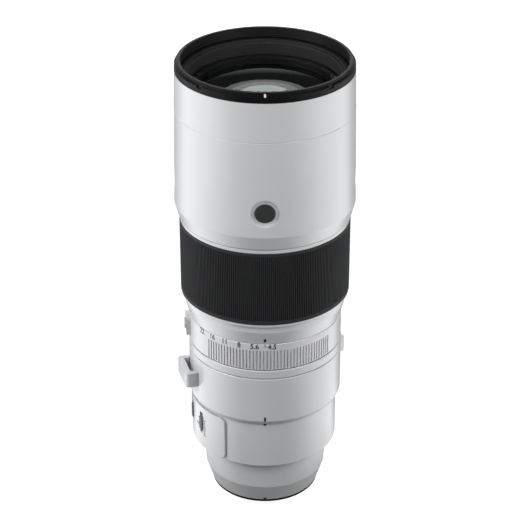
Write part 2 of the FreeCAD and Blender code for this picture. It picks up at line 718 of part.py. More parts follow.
def glass(label, radius, bottom, apex, front_curve, hollow_curve=None, hollow_depth=None):
    """A lens element: a cylinder with a domed front face and, where given, a hollow rear face."""
    rim = doc.addObject("Part::Cylinder", label + "_rim")
    bind(rim, "Radius", radius)
    bind(rim, "Height", apex - bottom)
    bind(rim, "Placement.Base.z", bottom)
    dome = doc.addObject("Part::Sphere", label + "_dome")
    bind(dome, "Radius", front_curve)
    bind(dome, "Placement.Base.z", apex - front_curve)
    element = doc.addObject("Part::Common", label)
    element.Base = rim
    element.Tool = dome
    if hollow_curve is None:
        return register(label, element)
    scoop = doc.addObject("Part::Sphere", label + "_scoop")
    bind(scoop, "Radius", hollow_curve)
    bind(scoop, "Placement.Base.z", bottom + hollow_depth - hollow_curve)
    hollow = doc.addObject("Part::Cut", label + "_hollowed")
    hollow.Base = element
    hollow.Tool = scoop
    return register(label, hollow)


def rod(name, radius, bottom, top, distance, azimuth):
    """A plain round bar along the axis direction, off the axis."""
    bar = doc.addObject("Part::Cylinder", name)
    bind(bar, "Radius", radius)
    bind(bar, "Height", top - bottom)
    bind(bar, "Placement.Base.x", distance * sine(azimuth))
    bind(bar, "Placement.Base.y", -(distance * cosine(azimuth)))
    bind(bar, "Placement.Base.z", bottom)
    return bar


def grouped(label, members):
    """Several alike solids kept as one sub-part."""
    group = doc.addObject("Part::Compound", label)
    group.Links = members
    return register(label, group)


# Rear mount: flange plate with a three-claw bayonet

mount = new_body("mount_plate")
section = section_sketch(mount, "plate_section")
outline(section, [
    (throat_radius, -s.bayonet_depth), (bayonet_radius, -s.bayonet_depth), (bayonet_radius, 0),
    (plate_radius, 0), (plate_radius, s.plate_thickness), (throat_radius, s.plate_thickness)])
revolve(mount, "plate_turned", section)
claw_section = section_sketch(mount, "claw_section", 0)
box_outline(claw_section, bayonet_radius - s.weld, claw_radius, -s.bayonet_depth,
            s.claw_height - s.bayonet_depth)
claw = revolve(mount, "claw", claw_section, s.claw_sweep)
around(mount, "claws", [claw], s.claw_count)
shank_sketch = level_sketch(mount, "plate_hole_sketch", 0, s.screw_azimuth)
ring_outline(shank_sketch, 0, -screw_circle, s.screw_shank + s.pin_hole_play)
shank_hole = raise_pad(mount, "plate_hole", shank_sketch, s.plate_thickness, cut=True)
head_sketch = level_sketch(mount, "plate_sink_sketch", 0, s.screw_azimuth)
ring_outline(head_sketch, 0, -screw_circle, s.screw_head + s.pin_hole_play)
head_hole = raise_pad(mount, "plate_sink", head_sketch, s.head_height, cut=True)
around(mount, "plate_holes", [shank_hole, head_hole], s.screw_count)
register("mount_plate", mount)

screws = []
for number in range(int(s.screw_count.value)):
    name = "mount_screw_" + str(number + 1)
    screw = new_body(name)
    azimuth = s.screw_azimuth + Size(number, str(number)) * 360 / s.screw_count
    head = level_sketch(screw, name + "_head_sketch", 0, 0)
    ring_outline(head, 0, -screw_circle, s.screw_head)
    raise_pad(screw, name + "_head", head, s.head_height)
    shank = level_sketch(screw, name + "_shank_sketch", s.head_height, 0)
    ring_outline(shank, 0, -screw_circle, s.screw_shank)
    raise_pad(screw, name + "_shank", shank, s.screw_length - s.head_height)
    place_turn(screw, azimuth)
    screws.append(screw)
grouped("mount_screws", screws)

turned("mount_seal", [
    (plate_radius + s.slide_fit, s.seal_lift), (seal_radius - s.edge_break, s.seal_lift),
    (seal_radius, s.seal_lift + s.edge_break),
    (seal_radius, s.plate_thickness), (plate_radius + s.slide_fit, s.plate_thickness)])

# Rear barrel: a cone over the mount that widens to a short cylinder
rear_wall_top_bore = core_outer + s.loose_fit
rear = new_body("rear_barrel")
section = section_sketch(rear, "rear_section")
outline(section, [
    (mount_boss_bore, s.plate_thickness), (cone_low_radius - s.edge_break, s.plate_thickness),
    (cone_low_radius, s.plate_thickness + s.edge_break), (cone_radius, s.cone_edge),
    (rear_radius, s.rear_barrel_top),
    (rear_bore, s.rear_barrel_top), (rear_bore, s.cone_edge),
    (mount_boss_reach, s.plate_thickness + s.mount_boss_height),
    (mount_boss_bore, s.plate_thickness + s.mount_boss_height)])
revolve(rear, "rear_turned", section)
pilot_sketch = level_sketch(rear, "pilot_sketch", s.plate_thickness, s.screw_azimuth)
ring_outline(pilot_sketch, 0, -screw_circle, s.screw_shank + s.pin_hole_play)
pilot = raise_pad(rear, "pilot", pilot_sketch, s.screw_length - s.plate_thickness + s.screw_end_play,
                  cut=True)
around(rear, "pilots", [pilot], s.screw_count)
register("rear_barrel", rear)

# Contacts and the black baffle in the throat
turned("rear_baffle", [
    (baffle_bore, -s.baffle_drop), (throat_radius - s.loose_fit, -s.baffle_drop),
    (throat_radius - s.loose_fit, s.plate_thickness), (baffle_flange, s.plate_thickness),
    (baffle_flange, s.plate_thickness + s.baffle_sheet),
    (baffle_throat, s.plate_thickness + s.baffle_sheet),
    (baffle_bore, s.baffle_lift)])

contacts = new_body("contact_block")
section = section_sketch(contacts, "contact_section", 180)
box_outline(section, contact_inner, throat_radius - s.loose_fit, -s.contact_foot, -s.baffle_drop)
revolve(contacts, "contact_turned", section, s.contact_sweep)
first_pin = 180 - s.pin_sweep / 2
well_sketch = level_sketch(contacts, "well_sketch", -s.contact_foot, first_pin)
ring_outline(well_sketch, 0, -pin_circle, s.pin_radius + s.pin_hole_play)
well = raise_pad(contacts, "well", well_sketch, s.pin_length - s.pin_rise + s.pin_end_play, cut=True)
around(contacts, "wells", [well], s.pin_count, s.pin_sweep)
register("contact_block", contacts)

pins = []
for number in range(int(s.pin_count.value)):
    azimuth = first_pin + s.pin_sweep * number / (s.pin_count - 1)
    foot = -s.contact_foot - s.pin_rise
    pin_name = "contact_pin_" + str(number + 1)
    pins.append(rod(pin_name, s.pin_radius, foot, foot + s.pin_length, pin_circle, azimuth))
grouped("contact_pins", pins)

# Switch section: a plain white barrel with an inner flange at its lower end
turned("switch_barrel", [
    (rear_wall_top_bore, switch_bottom), (switch_radius - s.edge_break, switch_bottom),
    (switch_radius, switch_bottom + s.edge_break), (switch_radius, switch_top - s.edge_break),
    (switch_radius - s.edge_break, switch_top), (switch_radius - s.switch_wall, switch_top),
    (switch_radius - s.switch_wall, switch_bottom + s.flange_step),
    (rear_wall_top_bore, switch_bottom + s.flange_step)])

# Raised switch panel on the left, with three slots for its sliders
slot_middle = switch_bottom + s.slot_lift
panel_radius = switch_radius + s.panel_rise
panel = new_body("switch_panel")
section = section_sketch(panel, "panel_section", s.slot_pitch)
box_outline(section, switch_radius + s.glue_line, panel_radius, switch_bottom + s.panel_margin,
            switch_top - s.panel_margin)
revolve(panel, "panel_turned", section, s.panel_sweep)


def radial_corner(edge):
    """Edges that run straight outwards through the panel."""
    if not isinstance(edge.Curve, Part.Line):
        return False
    ends = [vertex.Point for vertex in edge.Vertexes]
    return abs(ends[0].z - ends[1].z) < 1e-6 and abs(edge.Length - s.panel_rise.value) < 0.2


round_edges(panel, "panel_corners", s.panel_corner, radial_corner)
slot_sketch = azimuth_sketch(panel, "slot_sketch")
box_outline(slot_sketch, -s.slot_width / 2, s.slot_width / 2, slot_middle - s.slot_length / 2,
            slot_middle + s.slot_length / 2)
slot = raise_pad(panel, "slot", slot_sketch, panel_radius + s.overrun, cut=True)
around(panel, "slots", [slot], s.slot_count, s.slot_pitch * 2)
place_turn(panel, s.panel_azimuth - s.slot_pitch)
register("switch_panel", panel)

slider_names = ["focus_limit_slider", "preset_slider", "stabiliser_slider"]
for number, name in enumerate(slider_names):
    slider = new_body(name)
    foot = azimuth_sketch(slider, name + "_sketch", 0, switch_radius + s.slider_lift)
    half = s.slot_width / 2 - s.slide_fit
    box_outline(foot, -half, half, slot_middle - s.knob_length / 2, slot_middle + s.knob_length / 2)
    raise_pad(slider, name + "_block", foot, s.panel_rise + s.knob_rise - s.slider_lift)
    notch_sketch = azimuth_sketch(slider, name + "_groove_sketch", 0,
                                  panel_radius + s.knob_rise - s.groove_depth)
    low = slot_middle - s.groove_pitch * (s.groove_count - 1) / 2
    box_outline(notch_sketch, -half, half, low - s.groove_width / 2, low + s.groove_width / 2)
    notch = raise_pad(slider, name + "_groove", notch_sketch, s.groove_depth + s.overrun, cut=True)
    row = slider.newObject("PartDesign::LinearPattern", name + "_grooves")
    row.Originals = [notch]
    row.Direction = (origin_feature(slider, "Z_Axis"), [""])
    bind(row, "Length", s.groove_pitch * (s.groove_count - 1))
    bind(row, "Occurrences", s.groove_count)
    slider.Tip = row
    place_turn(slider, s.panel_azimuth + s.slot_pitch * (1 - number))
    register(name, slider)

board_low = switch_bottom + s.flange_step
board_radius = switch_radius - s.switch_wall - s.loose_fit
turned("circuit_board", [
    (board_bore, board_low), (board_radius, board_low), (board_radius, board_low + s.board_thickness),
    (board_bore, board_low + s.board_thickness)])

# Rear tube: carries the collar, shows as the band above it and carries the aperture ring
tube_head = slope_bottom + s.tube_spigot
turned("rear_tube", [
    (rear_tube_bore, switch_top), (collar_bearing, switch_top), (collar_bearing, band_bottom),
    (collar_radius - s.edge_break, band_bottom), (collar_radius, band_bottom + s.edge_break),
    (collar_radius, band_top - s.edge_break), (collar_radius - s.edge_break, band_top),
    (aperture_bearing, band_top), (aperture_bearing, tube_head), (rear_tube_bore, tube_head)])

# Collar with its tripod neck, its clamp boss and two strap lugs
collar_middle = collar_bottom + s.collar_length / 2
collar = new_body("collar_ring")
section = section_sketch(collar, "collar_section")
outline(section, [
    (collar_inner, collar_bottom), (collar_radius - s.collar_bevel / 2, collar_bottom),
    (collar_radius, collar_bottom + s.collar_bevel), (collar_radius, collar_top - s.edge_break),
    (collar_radius - s.edge_break, collar_top), (collar_inner, collar_top)])
revolve(collar, "collar_turned", section)
neck_root = azimuth_sketch(collar, "neck_root", 180, neck_root_distance)
box_outline(neck_root, -s.neck_width / 2, s.neck_width / 2, collar_bottom + s.neck_low,
            collar_top - s.neck_high)
neck_end = azimuth_sketch(collar, "neck_end", 180, foot_distance)
box_outline(neck_end, -s.neck_foot_width / 2, s.neck_foot_width / 2,
            collar_bottom + s.neck_low + s.neck_draft, collar_top - s.neck_high - s.neck_draft)
neck = collar.newObject("PartDesign::AdditiveLoft", "neck")
neck.Profile = neck_root
neck.Sections = [neck_end]
boss_root = collar_inner + s.weld
boss_sketch = azimuth_sketch(collar, "boss_sketch", s.clamp_azimuth, boss_root)
ring_outline(boss_sketch, 0, collar_middle, s.boss_radius)
raise_pad(collar, "boss", boss_sketch, boss_top - boss_root)
clamp_sketch = azimuth_sketch(collar, "clamp_sketch", s.clamp_azimuth, collar_inner - s.overrun)
ring_outline(clamp_sketch, 0, collar_middle, s.clamp_shank + s.pin_hole_play)
raise_pad(collar, "clamp_hole", clamp_sketch, boss_top - collar_inner + s.overrun * 2, cut=True)
foot_hole_sketch = azimuth_sketch(collar, "foot_hole_sketch", 180, foot_distance - s.foot_screw_depth)
for side in (-1, 1):
    for level in (-1, 1):
        ring_outline(foot_hole_sketch, s.foot_screw_side * side,
                     collar_middle + s.foot_screw_pitch * level / 2,
                     s.foot_screw_shank + s.pin_hole_play)
raise_pad(collar, "foot_holes", foot_hole_sketch, s.foot_screw_depth + s.overrun, cut=True)
register("collar_ring", collar)

lug_azimuths = [s.left_lug_azimuth, s.right_lug_azimuth]


def outer_upright(edge):
    """Upright edges at the outer corners of a lug."""
    if not isinstance(edge.Curve, Part.Line):
        return False
    ends = [vertex.Point for vertex in edge.Vertexes]
    far = min(math.hypot(point.x, point.y) for point in ends)
    return abs(ends[0].z - ends[1].z) > 1 and far > lug_reach.value - 0.5


lugs = []
for number, azimuth in enumerate(lug_azimuths):
    name = ("left", "right")[number] + "_lug"
    lug = new_body(name)
    low = collar_bottom + s.lug_lift
    block_sketch = level_sketch(lug, name + "_block_sketch", low)
    box_outline(block_sketch, -s.lug_width / 2, s.lug_width / 2, -lug_reach, -collar_radius / 2)
    raise_pad(lug, name + "_block", block_sketch, s.lug_height)
    seat_section = section_sketch(lug, name + "_seat_section")
    box_outline(seat_section, 0, collar_radius + s.glue_line, low - s.overrun,
                low + s.lug_height + s.overrun)
    revolve(lug, name + "_seat", seat_section, cut=True)
    slot_sketch = level_sketch(lug, name + "_slot_sketch", low)
    half_slot = s.lug_width / 2 - s.lug_leg
    box_outline(slot_sketch, -half_slot, half_slot, s.lug_bar - lug_reach, -collar_radius / 2)
    raise_pad(lug, name + "_slot", slot_sketch, s.lug_height, cut=True)
    round_edges(lug, name + "_corners", s.lug_corner, outer_upright)
    place_turn(lug, azimuth)
    lugs.append(lug)
grouped("strap_lugs", lugs)

# Tripod foot with dovetail flanks, and its screws
foot_low = collar_middle - s.foot_length / 2
foot = new_body("tripod_foot")
near = foot_distance
far = foot_distance + s.foot_thickness
profile = level_sketch(foot, "foot_profile", foot_low)
half_narrow = s.foot_width / 2 - s.dovetail_depth
outline(profile, [
    (s.foot_break - s.foot_width / 2, near), (s.foot_width / 2 - s.foot_break, near),
    (s.foot_width / 2, near + s.foot_break),
    (half_narrow, far - s.dovetail_depth), (s.foot_width / 2, far - s.foot_land), (s.foot_width / 2, far),
    (-s.foot_width / 2, far), (-s.foot_width / 2, far - s.foot_land),
    (-half_narrow, far - s.dovetail_depth),
    (-s.foot_width / 2, near + s.foot_break)])
raise_pad(foot, "foot_bar", profile, s.foot_length)
small_sketch = azimuth_sketch(foot, "small_hole_sketch", 180, far - s.tripod_depth)
ring_outline(small_sketch, 0, collar_middle + s.tripod_small_lift, s.tripod_hole)
ring_outline(small_sketch, 0, collar_middle + s.tripod_large_lift, s.tripod_hole_large)
raise_pad(foot, "tripod_holes", small_sketch, s.tripod_depth + s.overrun, cut=True)
sink_sketch = azimuth_sketch(foot, "foot_sink_sketch", 180, far - s.foot_head_depth)
through_sketch = azimuth_sketch(foot, "foot_through_sketch", 180, near - s.overrun)
for side in (-1, 1):
    for level in (-1, 1):
        up = collar_middle + s.foot_screw_pitch * level / 2
        ring_outline(sink_sketch, s.foot_screw_side * side, up, s.foot_head + s.pin_hole_play)
        ring_outline(through_sketch, s.foot_screw_side * side, up, s.foot_screw_shank + s.pin_hole_play)
raise_pad(foot, "foot_sinks", sink_sketch, s.foot_head_depth + s.overrun, cut=True)
raise_pad(foot, "foot_throughs", through_sketch, s.foot_thickness + s.overrun * 2, cut=True)
register("tripod_foot", foot)

foot_screws = []
for number in range(4):
    side = (-1, 1)[number % 2]
    up = collar_middle + s.foot_screw_pitch * (-1, 1)[number // 2] / 2
    name = "foot_screw_" + str(number + 1)
    screw = new_body(name)
    shank = azimuth_sketch(screw, name + "_shank_sketch", 180,
                           near - s.foot_screw_depth + s.foot_screw_gap)
    ring_outline(shank, s.foot_screw_side * side, up, s.foot_screw_shank)
    raise_pad(screw, name + "_shank", shank,
              s.foot_screw_depth - s.foot_screw_gap + s.foot_thickness - s.foot_head_depth)
    head = azimuth_sketch(screw, name + "_head_sketch", 180, far - s.foot_head_depth)
    ring_outline(head, s.foot_screw_side * side, up, s.foot_head)
    raise_pad(screw, name + "_head", head, s.foot_head_depth - s.foot_head_sink)
    foot_screws.append(screw)
grouped("foot_screws", foot_screws)

# Clamp knob: a scalloped head on the clamp screw
knob = new_body("clamp_knob")
shank_end = collar_bearing + s.clamp_gap
shank = azimuth_sketch(knob, "knob_shank_sketch", 0, shank_end)
ring_outline(shank, 0, collar_middle, s.clamp_shank)
raise_pad(knob, "knob_shank", shank, boss_top + s.seam_gap - shank_end)
head = azimuth_sketch(knob, "knob_head_sketch", 0, boss_top + s.seam_gap)
ring_outline(head, 0, collar_middle, s.knob_radius)
raise_pad(knob, "knob_head", head, s.knob_height)
scallops = azimuth_sketch(knob, "scallop_sketch", 0, boss_top + s.seam_gap + s.scallop_low)
for number in range(int(s.scallop_count.value)):
    turn = Size(number, str(number)) * 360 / s.scallop_count
    up = collar_middle + s.scallop_reach * cosine(turn)
    ring_outline(scallops, s.scallop_reach * sine(turn), up, s.scallop_radius)
raise_pad(knob, "scallops", scallops, s.knob_height, cut=True)
place_turn(knob, s.clamp_azimuth)
register("clamp_knob", knob)

# Aperture ring with its ribbed stretch and the boss of its lock button
ring_bore = aperture_bearing + s.running_fit
lock_middle = aperture_bottom + s.aperture_length / 2
aperture = new_body("aperture_ring")
section = section_sketch(aperture, "aperture_section")
outline(section, [
    (ring_bore, aperture_bottom), (aperture_radius - s.edge_break, aperture_bottom),
    (aperture_radius, aperture_bottom + s.edge_break), (aperture_radius, aperture_top - s.edge_break),
    (aperture_radius - s.edge_break, aperture_top), (ring_bore, aperture_top)])
revolve(aperture, "aperture_turned", section)
lock_boss_root = ring_bore + s.weld
lock_boss_sketch = azimuth_sketch(aperture, "lock_boss_sketch", s.lock_azimuth, lock_boss_root)
box_outline(lock_boss_sketch, -s.lock_boss_width / 2, s.lock_boss_width / 2,
            lock_middle - s.lock_boss_height / 2, lock_middle + s.lock_boss_height / 2)
raise_pad(aperture, "lock_boss", lock_boss_sketch, lock_boss_top - lock_boss_root)


def boss_upright(edge):
    """The four corner edges of the lock boss, which run outwards."""
    if not isinstance(edge.Curve, Part.Line):
        return False
    ends = [vertex.Point for vertex in edge.Vertexes]
    furthest = max(math.hypot(point.x, point.y) for point in ends)
    return abs(ends[0].z - ends[1].z) < 1e-6 and furthest > lock_boss_top.value - 0.1 \
        and 0.8 < edge.Length < 4


round_edges(aperture, "lock_boss_corners", s.lock_boss_corner, boss_upright)
lock_floor = ring_bore + s.lock_web
lock_hole_sketch = azimuth_sketch(aperture, "lock_hole_sketch", s.lock_azimuth, lock_floor)
ring_outline(lock_hole_sketch, 0, lock_middle, s.lock_radius + s.slide_fit)
raise_pad(aperture, "lock_hole", lock_hole_sketch, lock_boss_top - ring_bore, cut=True)
rib_sketch = level_sketch(aperture, "rib_sketch", aperture_bottom + s.rib_low, s.rib_start)
box_outline(rib_sketch, -s.rib_groove / 2, s.rib_groove / 2, -aperture_radius - s.overrun,
            s.rib_depth - aperture_radius)
rib = raise_pad(aperture, "rib_cut", rib_sketch, s.rib_length, cut=True)
around(aperture, "rib_cuts", [rib], s.rib_count, s.rib_pitch * (s.rib_count - 1))
register("aperture_ring", aperture)

lock = new_body("aperture_lock_button")
lock_rest = lock_floor + s.lock_travel + s.slide_fit
lock_sketch = azimuth_sketch(lock, "lock_sketch", s.lock_azimuth, lock_rest)
ring_outline(lock_sketch, 0, lock_middle, s.lock_radius)
raise_pad(lock, "lock_pin", lock_sketch, lock_top - lock_rest)
register("aperture_lock_button", lock)

# Middle barrel: sloped shoulder, plain neck and the tube under the focus ring
tube_top = barrel_bottom + s.tube_reach
turned("mid_barrel", [
    (aperture_bearing + s.loose_fit, slope_bottom), (aperture_radius - s.shoulder_step, slope_bottom),
    (neck_radius - s.soft_edge / 2, slope_top - s.soft_edge), (neck_radius, slope_top + s.soft_edge),
    (neck_radius, neck_top), (focus_bearing, neck_top), (focus_bearing, tube_top),
    (mid_bore, tube_top), (mid_bore, tube_head + s.flange_step),
    (rear_tube_bore, tube_head + s.flange_step),
    (rear_tube_bore, tube_head), (aperture_bearing + s.loose_fit, tube_head)])

# Focus ring: a sleeve with two white rims, and the ribbed rubber between them
sleeve_bore = focus_bearing + s.running_fit
turned("focus_sleeve", [
    (sleeve_bore, focus_bottom), (rim_radius - s.rim_break, focus_bottom),
    (rim_radius, focus_bottom + s.rim_break),
    (rim_radius, grip_bottom), (grip_seat, grip_bottom), (grip_seat, grip_top),
    (rim_radius, grip_top),
    (rim_radius, focus_top - s.edge_break), (rim_radius - s.edge_break, focus_top),
    (sleeve_bore, focus_top)])



def ribbed_rubber():
    """The rubber tube with its ring of crests and grooves, and a smooth band at each end."""
    bore = grip_seat.value + s.glue_line.value
    crest = grip_radius.value
    root = crest - s.grip_groove_depth.value
    count = int(round(s.grip_ribs.value))
    pitch = 2 * math.pi / count
    low = grip_bottom.value + s.grip_low_band.value
    high = grip_top.value - s.grip_high_band.value
    corners = []
    for number in range(count):
        start = number * pitch
        for share, radius in ((0, crest), (s.grip_rib_share.value, crest),
                              ((1 + s.grip_rib_share.value) / 2, root)):
            angle = start + share * pitch
            corners.append(FreeCAD.Vector(radius * math.cos(angle), radius * math.sin(angle), low))
    corners.append(corners[0])
    rim = Part.Wire([Part.Circle(FreeCAD.Vector(0, 0, low), FreeCAD.Vector(0, 0, 1), bore).toShape()])
    ribbed_face = Part.Face([Part.makePolygon(corners), rim])
    ribbed = ribbed_face.extrude(FreeCAD.Vector(0, 0, high - low))
    bands = []
    for bottom, height in ((grip_bottom.value, s.grip_low_band.value), (high, s.grip_high_band.value)):
        outer = Part.makeCylinder(crest, height, FreeCAD.Vector(0, 0, bottom))
        inner = Part.makeCylinder(bore, height, FreeCAD.Vector(0, 0, bottom))
        bands.append(outer.cut(inner))
    return ribbed.fuse(bands)


grip = doc.addObject("Part::Feature", "focus_grip")
grip.Shape = ribbed_rubber()
register("focus_grip", grip)

# Front barrel: long white tube with a tapered foot and four dished function buttons
button_middle = taper_top + s.button_lift
barrel = new_body("main_barrel")
section = section_sketch(barrel, "barrel_section")
outline(section, [
    (focus_bearing + s.loose_fit, barrel_bottom), (taper_radius, barrel_bottom),
    (s.bulge_radius - s.soft_edge / 2, taper_top - s.soft_edge),
    (s.bulge_radius, taper_top + s.soft_edge),
    (hairline_radius, barrel_top - s.hairline), (hairline_radius - s.hairline, barrel_top),
    (barrel_bore, barrel_top), (barrel_bore, tube_top + s.flange_step),
    (mid_bore, tube_top + s.flange_step),
    (mid_bore, tube_top), (focus_bearing + s.loose_fit, tube_top)])
revolve(barrel, "barrel_turned", section)
dish_sketch = azimuth_sketch(barrel, "dish_sketch", 0, dish_floor)
ring_outline(dish_sketch, 0, button_middle, s.dish_radius)
dish = raise_pad(barrel, "dish", dish_sketch, s.bulge_radius - dish_floor + s.overrun, cut=True)
cap_hole_sketch = azimuth_sketch(barrel, "cap_hole_sketch", 0, barrel_bore - s.overrun * 2)
ring_outline(cap_hole_sketch, 0, button_middle, s.cap_radius + s.slide_fit)
cap_hole = raise_pad(barrel, "cap_hole", cap_hole_sketch, s.bulge_radius - barrel_bore + s.overrun * 3,
                     cut=True)
around(barrel, "button_places", [dish, cap_hole], s.button_count)
register("main_barrel", barrel)

button_names = ["front", "right", "rear", "left"]
for number, side in enumerate(button_names):
    name = "function_button_" + side
    button = new_body(name)
    flange = azimuth_sketch(button, name + "_flange_sketch", 0, flange_face - s.flange_thick)
    ring_outline(flange, 0, button_middle, s.cap_flange)
    raise_pad(button, name + "_flange", flange, s.flange_thick)
    cap = azimuth_sketch(button, name + "_cap_sketch", 0, flange_face)
    ring_outline(cap, 0, button_middle, s.cap_radius)
    raise_pad(button, name + "_cap", cap, cap_top - flange_face)

    def cap_rim(edge, top=cap_top.value):
        """The outer rim of the cap."""
        return isinstance(edge.Curve, Part.Circle) and abs(edge.Curve.Center.y + top) < 0.01

    round_edges(button, name + "_rim", s.cap_round, cap_rim)
    place_turn(button, Size(number, str(number)) * 360 / s.button_count)
    register(name, button)

switch_face = flange_face - s.flange_thick - s.cap_travel - s.switch_gap
brackets = []
for number in range(int(s.button_count.value)):
    name = "switch_bracket_" + str(number + 1)
    bracket = new_body(name)
    floor_sketch = azimuth_sketch(bracket, name + "_floor_sketch", 0, bracket_floor)
    low = button_middle - s.bracket_height / 2
    high = button_middle + s.bracket_height / 2
    box_outline(floor_sketch, -s.bracket_half, s.bracket_half, low, high)
    raise_pad(bracket, name + "_floor", floor_sketch, s.bracket_wall)
    leg_sketch = azimuth_sketch(bracket, name + "_leg_sketch", 0, bracket_floor)
    box_outline(leg_sketch, -s.bracket_half, s.bracket_wall - s.bracket_half, low, high)
    box_outline(leg_sketch, s.bracket_half - s.bracket_wall, s.bracket_half, low, high)
    raise_pad(bracket, name + "_legs", leg_sketch, leg_top - bracket_floor)
    body_sketch = azimuth_sketch(bracket, name + "_body_sketch", 0, bracket_floor)
    box_outline(body_sketch, -s.switch_half, s.switch_half, button_middle - s.switch_half,
                button_middle + s.switch_half)
    raise_pad(bracket, name + "_body", body_sketch, switch_face - bracket_floor)
    place_turn(bracket, Size(number, str(number)) * 360 / s.button_count)
    brackets.append(bracket)
grouped("button_switches", brackets)

# Foremost white barrel; its inner shoulder carries the front cell
cell_seat = barrel_top + s.seat_rise
name_bore = barrel_bore - s.name_wall_step
turned("name_barrel", [
    (spigot_bore, barrel_top - s.spigot_depth),
    (barrel_bore - s.loose_fit, barrel_top - s.spigot_depth),
    (barrel_bore - s.loose_fit, barrel_top), (hairline_radius - s.hairline, barrel_top),
    (hairline_radius, barrel_top + s.hairline), (band_radius + s.band_step, name_top),
    (name_bore, name_top), (name_bore, cell_seat), (spigot_bore, cell_seat)])

# Black front ring: filter thread inside, bevelled lip, four notches that take the hood
front = new_body("front_ring")
section = section_sketch(front, "front_section")
thread_low = lip_top - s.thread_lead - s.thread_length
outline(section, [
    (filter_relief, cell_seat + s.cell_flange), (name_bore - s.loose_fit, cell_seat + s.cell_flange),
    (name_bore - s.loose_fit, name_top), (band_radius, name_top), (band_radius, band_edge),
    (lip_radius, lip_top - s.lip_side), (lip_radius, lip_top - s.lip_break),
    (lip_radius - s.lip_break, lip_top), (filter_minor + s.thread_lead, lip_top),
    (filter_minor, lip_top - s.thread_lead),
    (filter_minor, thread_low), (filter_relief, thread_low - s.thread_lead)])
revolve(front, "front_turned", section)
notch_sketch = azimuth_sketch(front, "notch_sketch", s.notch_azimuth, band_radius - s.notch_depth)
box_outline(notch_sketch, -s.notch_width / 2, s.notch_width / 2, band_edge - s.notch_height / 2,
            band_edge + s.notch_height / 2)
notch = raise_pad(front, "notch", notch_sketch, s.notch_depth + s.overrun, cut=True)
around(front, "notches", [notch], s.notch_count)
register("front_ring", front)

# Front cell, its two large elements and the ring that holds them
element_rest = cell_seat + s.element_lift
cell_radius = filter_minor - s.loose_fit
cell_top = lip_top - s.ring_floor - s.retainer_flange
cell_low = cell_seat - s.cell_drop
cell_skirt = spigot_bore - s.loose_fit
second_top = cell_seat - s.second_drop
turned("front_cell", [
    (second_radius + s.loose_fit, cell_low), (cell_skirt, cell_low), (cell_skirt, cell_seat),
    (name_bore - s.loose_fit, cell_seat), (name_bore - s.loose_fit, cell_seat + s.cell_flange),
    (cell_radius, cell_seat + s.cell_flange), (cell_radius, cell_top),
    (element_radius + s.loose_fit, cell_top),
    (element_radius + s.loose_fit, element_rest), (element_seat, element_rest),
    (cell_waist, cell_seat),
    (cell_waist, second_top), (second_radius + s.loose_fit, second_top)])
element_apex = element_rest + s.element_edge + element_crown
glass("front_element", element_radius, element_rest, element_apex, s.element_curve)
retainer_top = cell_top + s.retainer_flange
retainer_land = retainer_top - s.retainer_step
turned("front_retainer", [
    (retainer_bore, element_apex - s.element_curve + bore_rise + s.retainer_nose),
    (element_radius - s.running_fit, element_rest + s.element_edge + s.retainer_nose),
    (element_radius - s.running_fit, cell_top), (cell_radius - s.running_fit, cell_top),
    (cell_radius - s.running_fit, retainer_top), (retainer_bore + s.retainer_land, retainer_top),
    (retainer_bore + s.retainer_land, retainer_land), (retainer_bore + s.retainer_bevel, retainer_land),
    (retainer_bore, retainer_land - s.retainer_bevel)])
glass("second_element", second_radius, second_top - s.second_thickness, second_top - s.element_play,
      s.second_curve,
      s.second_hollow, s.second_hollow_depth)

# Stepped baffle behind the front cell, narrowing to the core tube
core_flange_top = tube_top + s.flange_step + s.flange_step
baffle_low = core_flange_top
step_height = (cell_low - s.baffle_lip - baffle_low) / s.baffle_steps
step_width = (baffle_top_radius - core_bore) / s.baffle_steps
lip_low = cell_low - s.baffle_lip
outer_side = []
inner_side = []
for number in range(int(s.baffle_steps.value)):
    low = baffle_low + step_height * number
    radius = core_bore + step_width * number
    outer_side.append((radius + s.baffle_wall, low))
    outer_side.append((radius + s.baffle_wall, low + step_height - s.baffle_wall))
    inner_side.append((radius, low))
    inner_side.append((radius, low + step_height))
outer_side.append((baffle_top_radius + s.baffle_wall, lip_low - s.baffle_wall))
outer_side.append((cell_skirt, lip_low - s.baffle_wall))
outer_side.append((cell_skirt, cell_low))
inner_side.append((baffle_top_radius, lip_low))
inner_side.append((baffle_top_radius, cell_low))
turned("baffle_tube", outer_side + inner_side[::-1])

# Core tube that carries the moving groups, hung on the joint of the barrels
turned("core_tube", [
    (core_bore, s.core_low), (core_outer, s.core_low), (core_outer, tube_top + s.flange_step),
    (barrel_bore - s.loose_fit, tube_top + s.flange_step),
    (barrel_bore - s.loose_fit, core_flange_top),
    (core_bore, core_flange_top)])

# Focus group: a carriage on two rods inside a frame
focus_frame_top = core_flange_top - s.frame_drop
focus_frame_low = focus_frame_top - s.focus_frame_length
carriage_low = focus_frame_low + s.frame_lip + s.carriage_rest
focus_frame = new_body("focus_frame")
section = section_sketch(focus_frame, "frame_section")
wall_bore = unit_radius - s.frame_wall
outline(section, [
    (frame_opening, focus_frame_low), (unit_radius, focus_frame_low), (unit_radius, focus_frame_top),
    (frame_opening, focus_frame_top), (frame_opening, focus_frame_top - s.frame_lip),
    (wall_bore, focus_frame_top - s.frame_lip), (wall_bore, focus_frame_low + s.frame_lip),
    (frame_opening, focus_frame_low + s.frame_lip)])
revolve(focus_frame, "frame_turned", section)
rod_hole_sketch = level_sketch(focus_frame, "rod_hole_sketch", focus_frame_low - s.overrun, 90)
ring_outline(rod_hole_sketch, 0, -rod_circle, s.rod_radius + s.pin_hole_play)
rod_hole = raise_pad(focus_frame, "rod_hole", rod_hole_sketch, s.focus_frame_length + s.overrun * 2,
                     cut=True)
around(focus_frame, "rod_holes", [rod_hole], s.rod_count)
register("focus_frame", focus_frame)
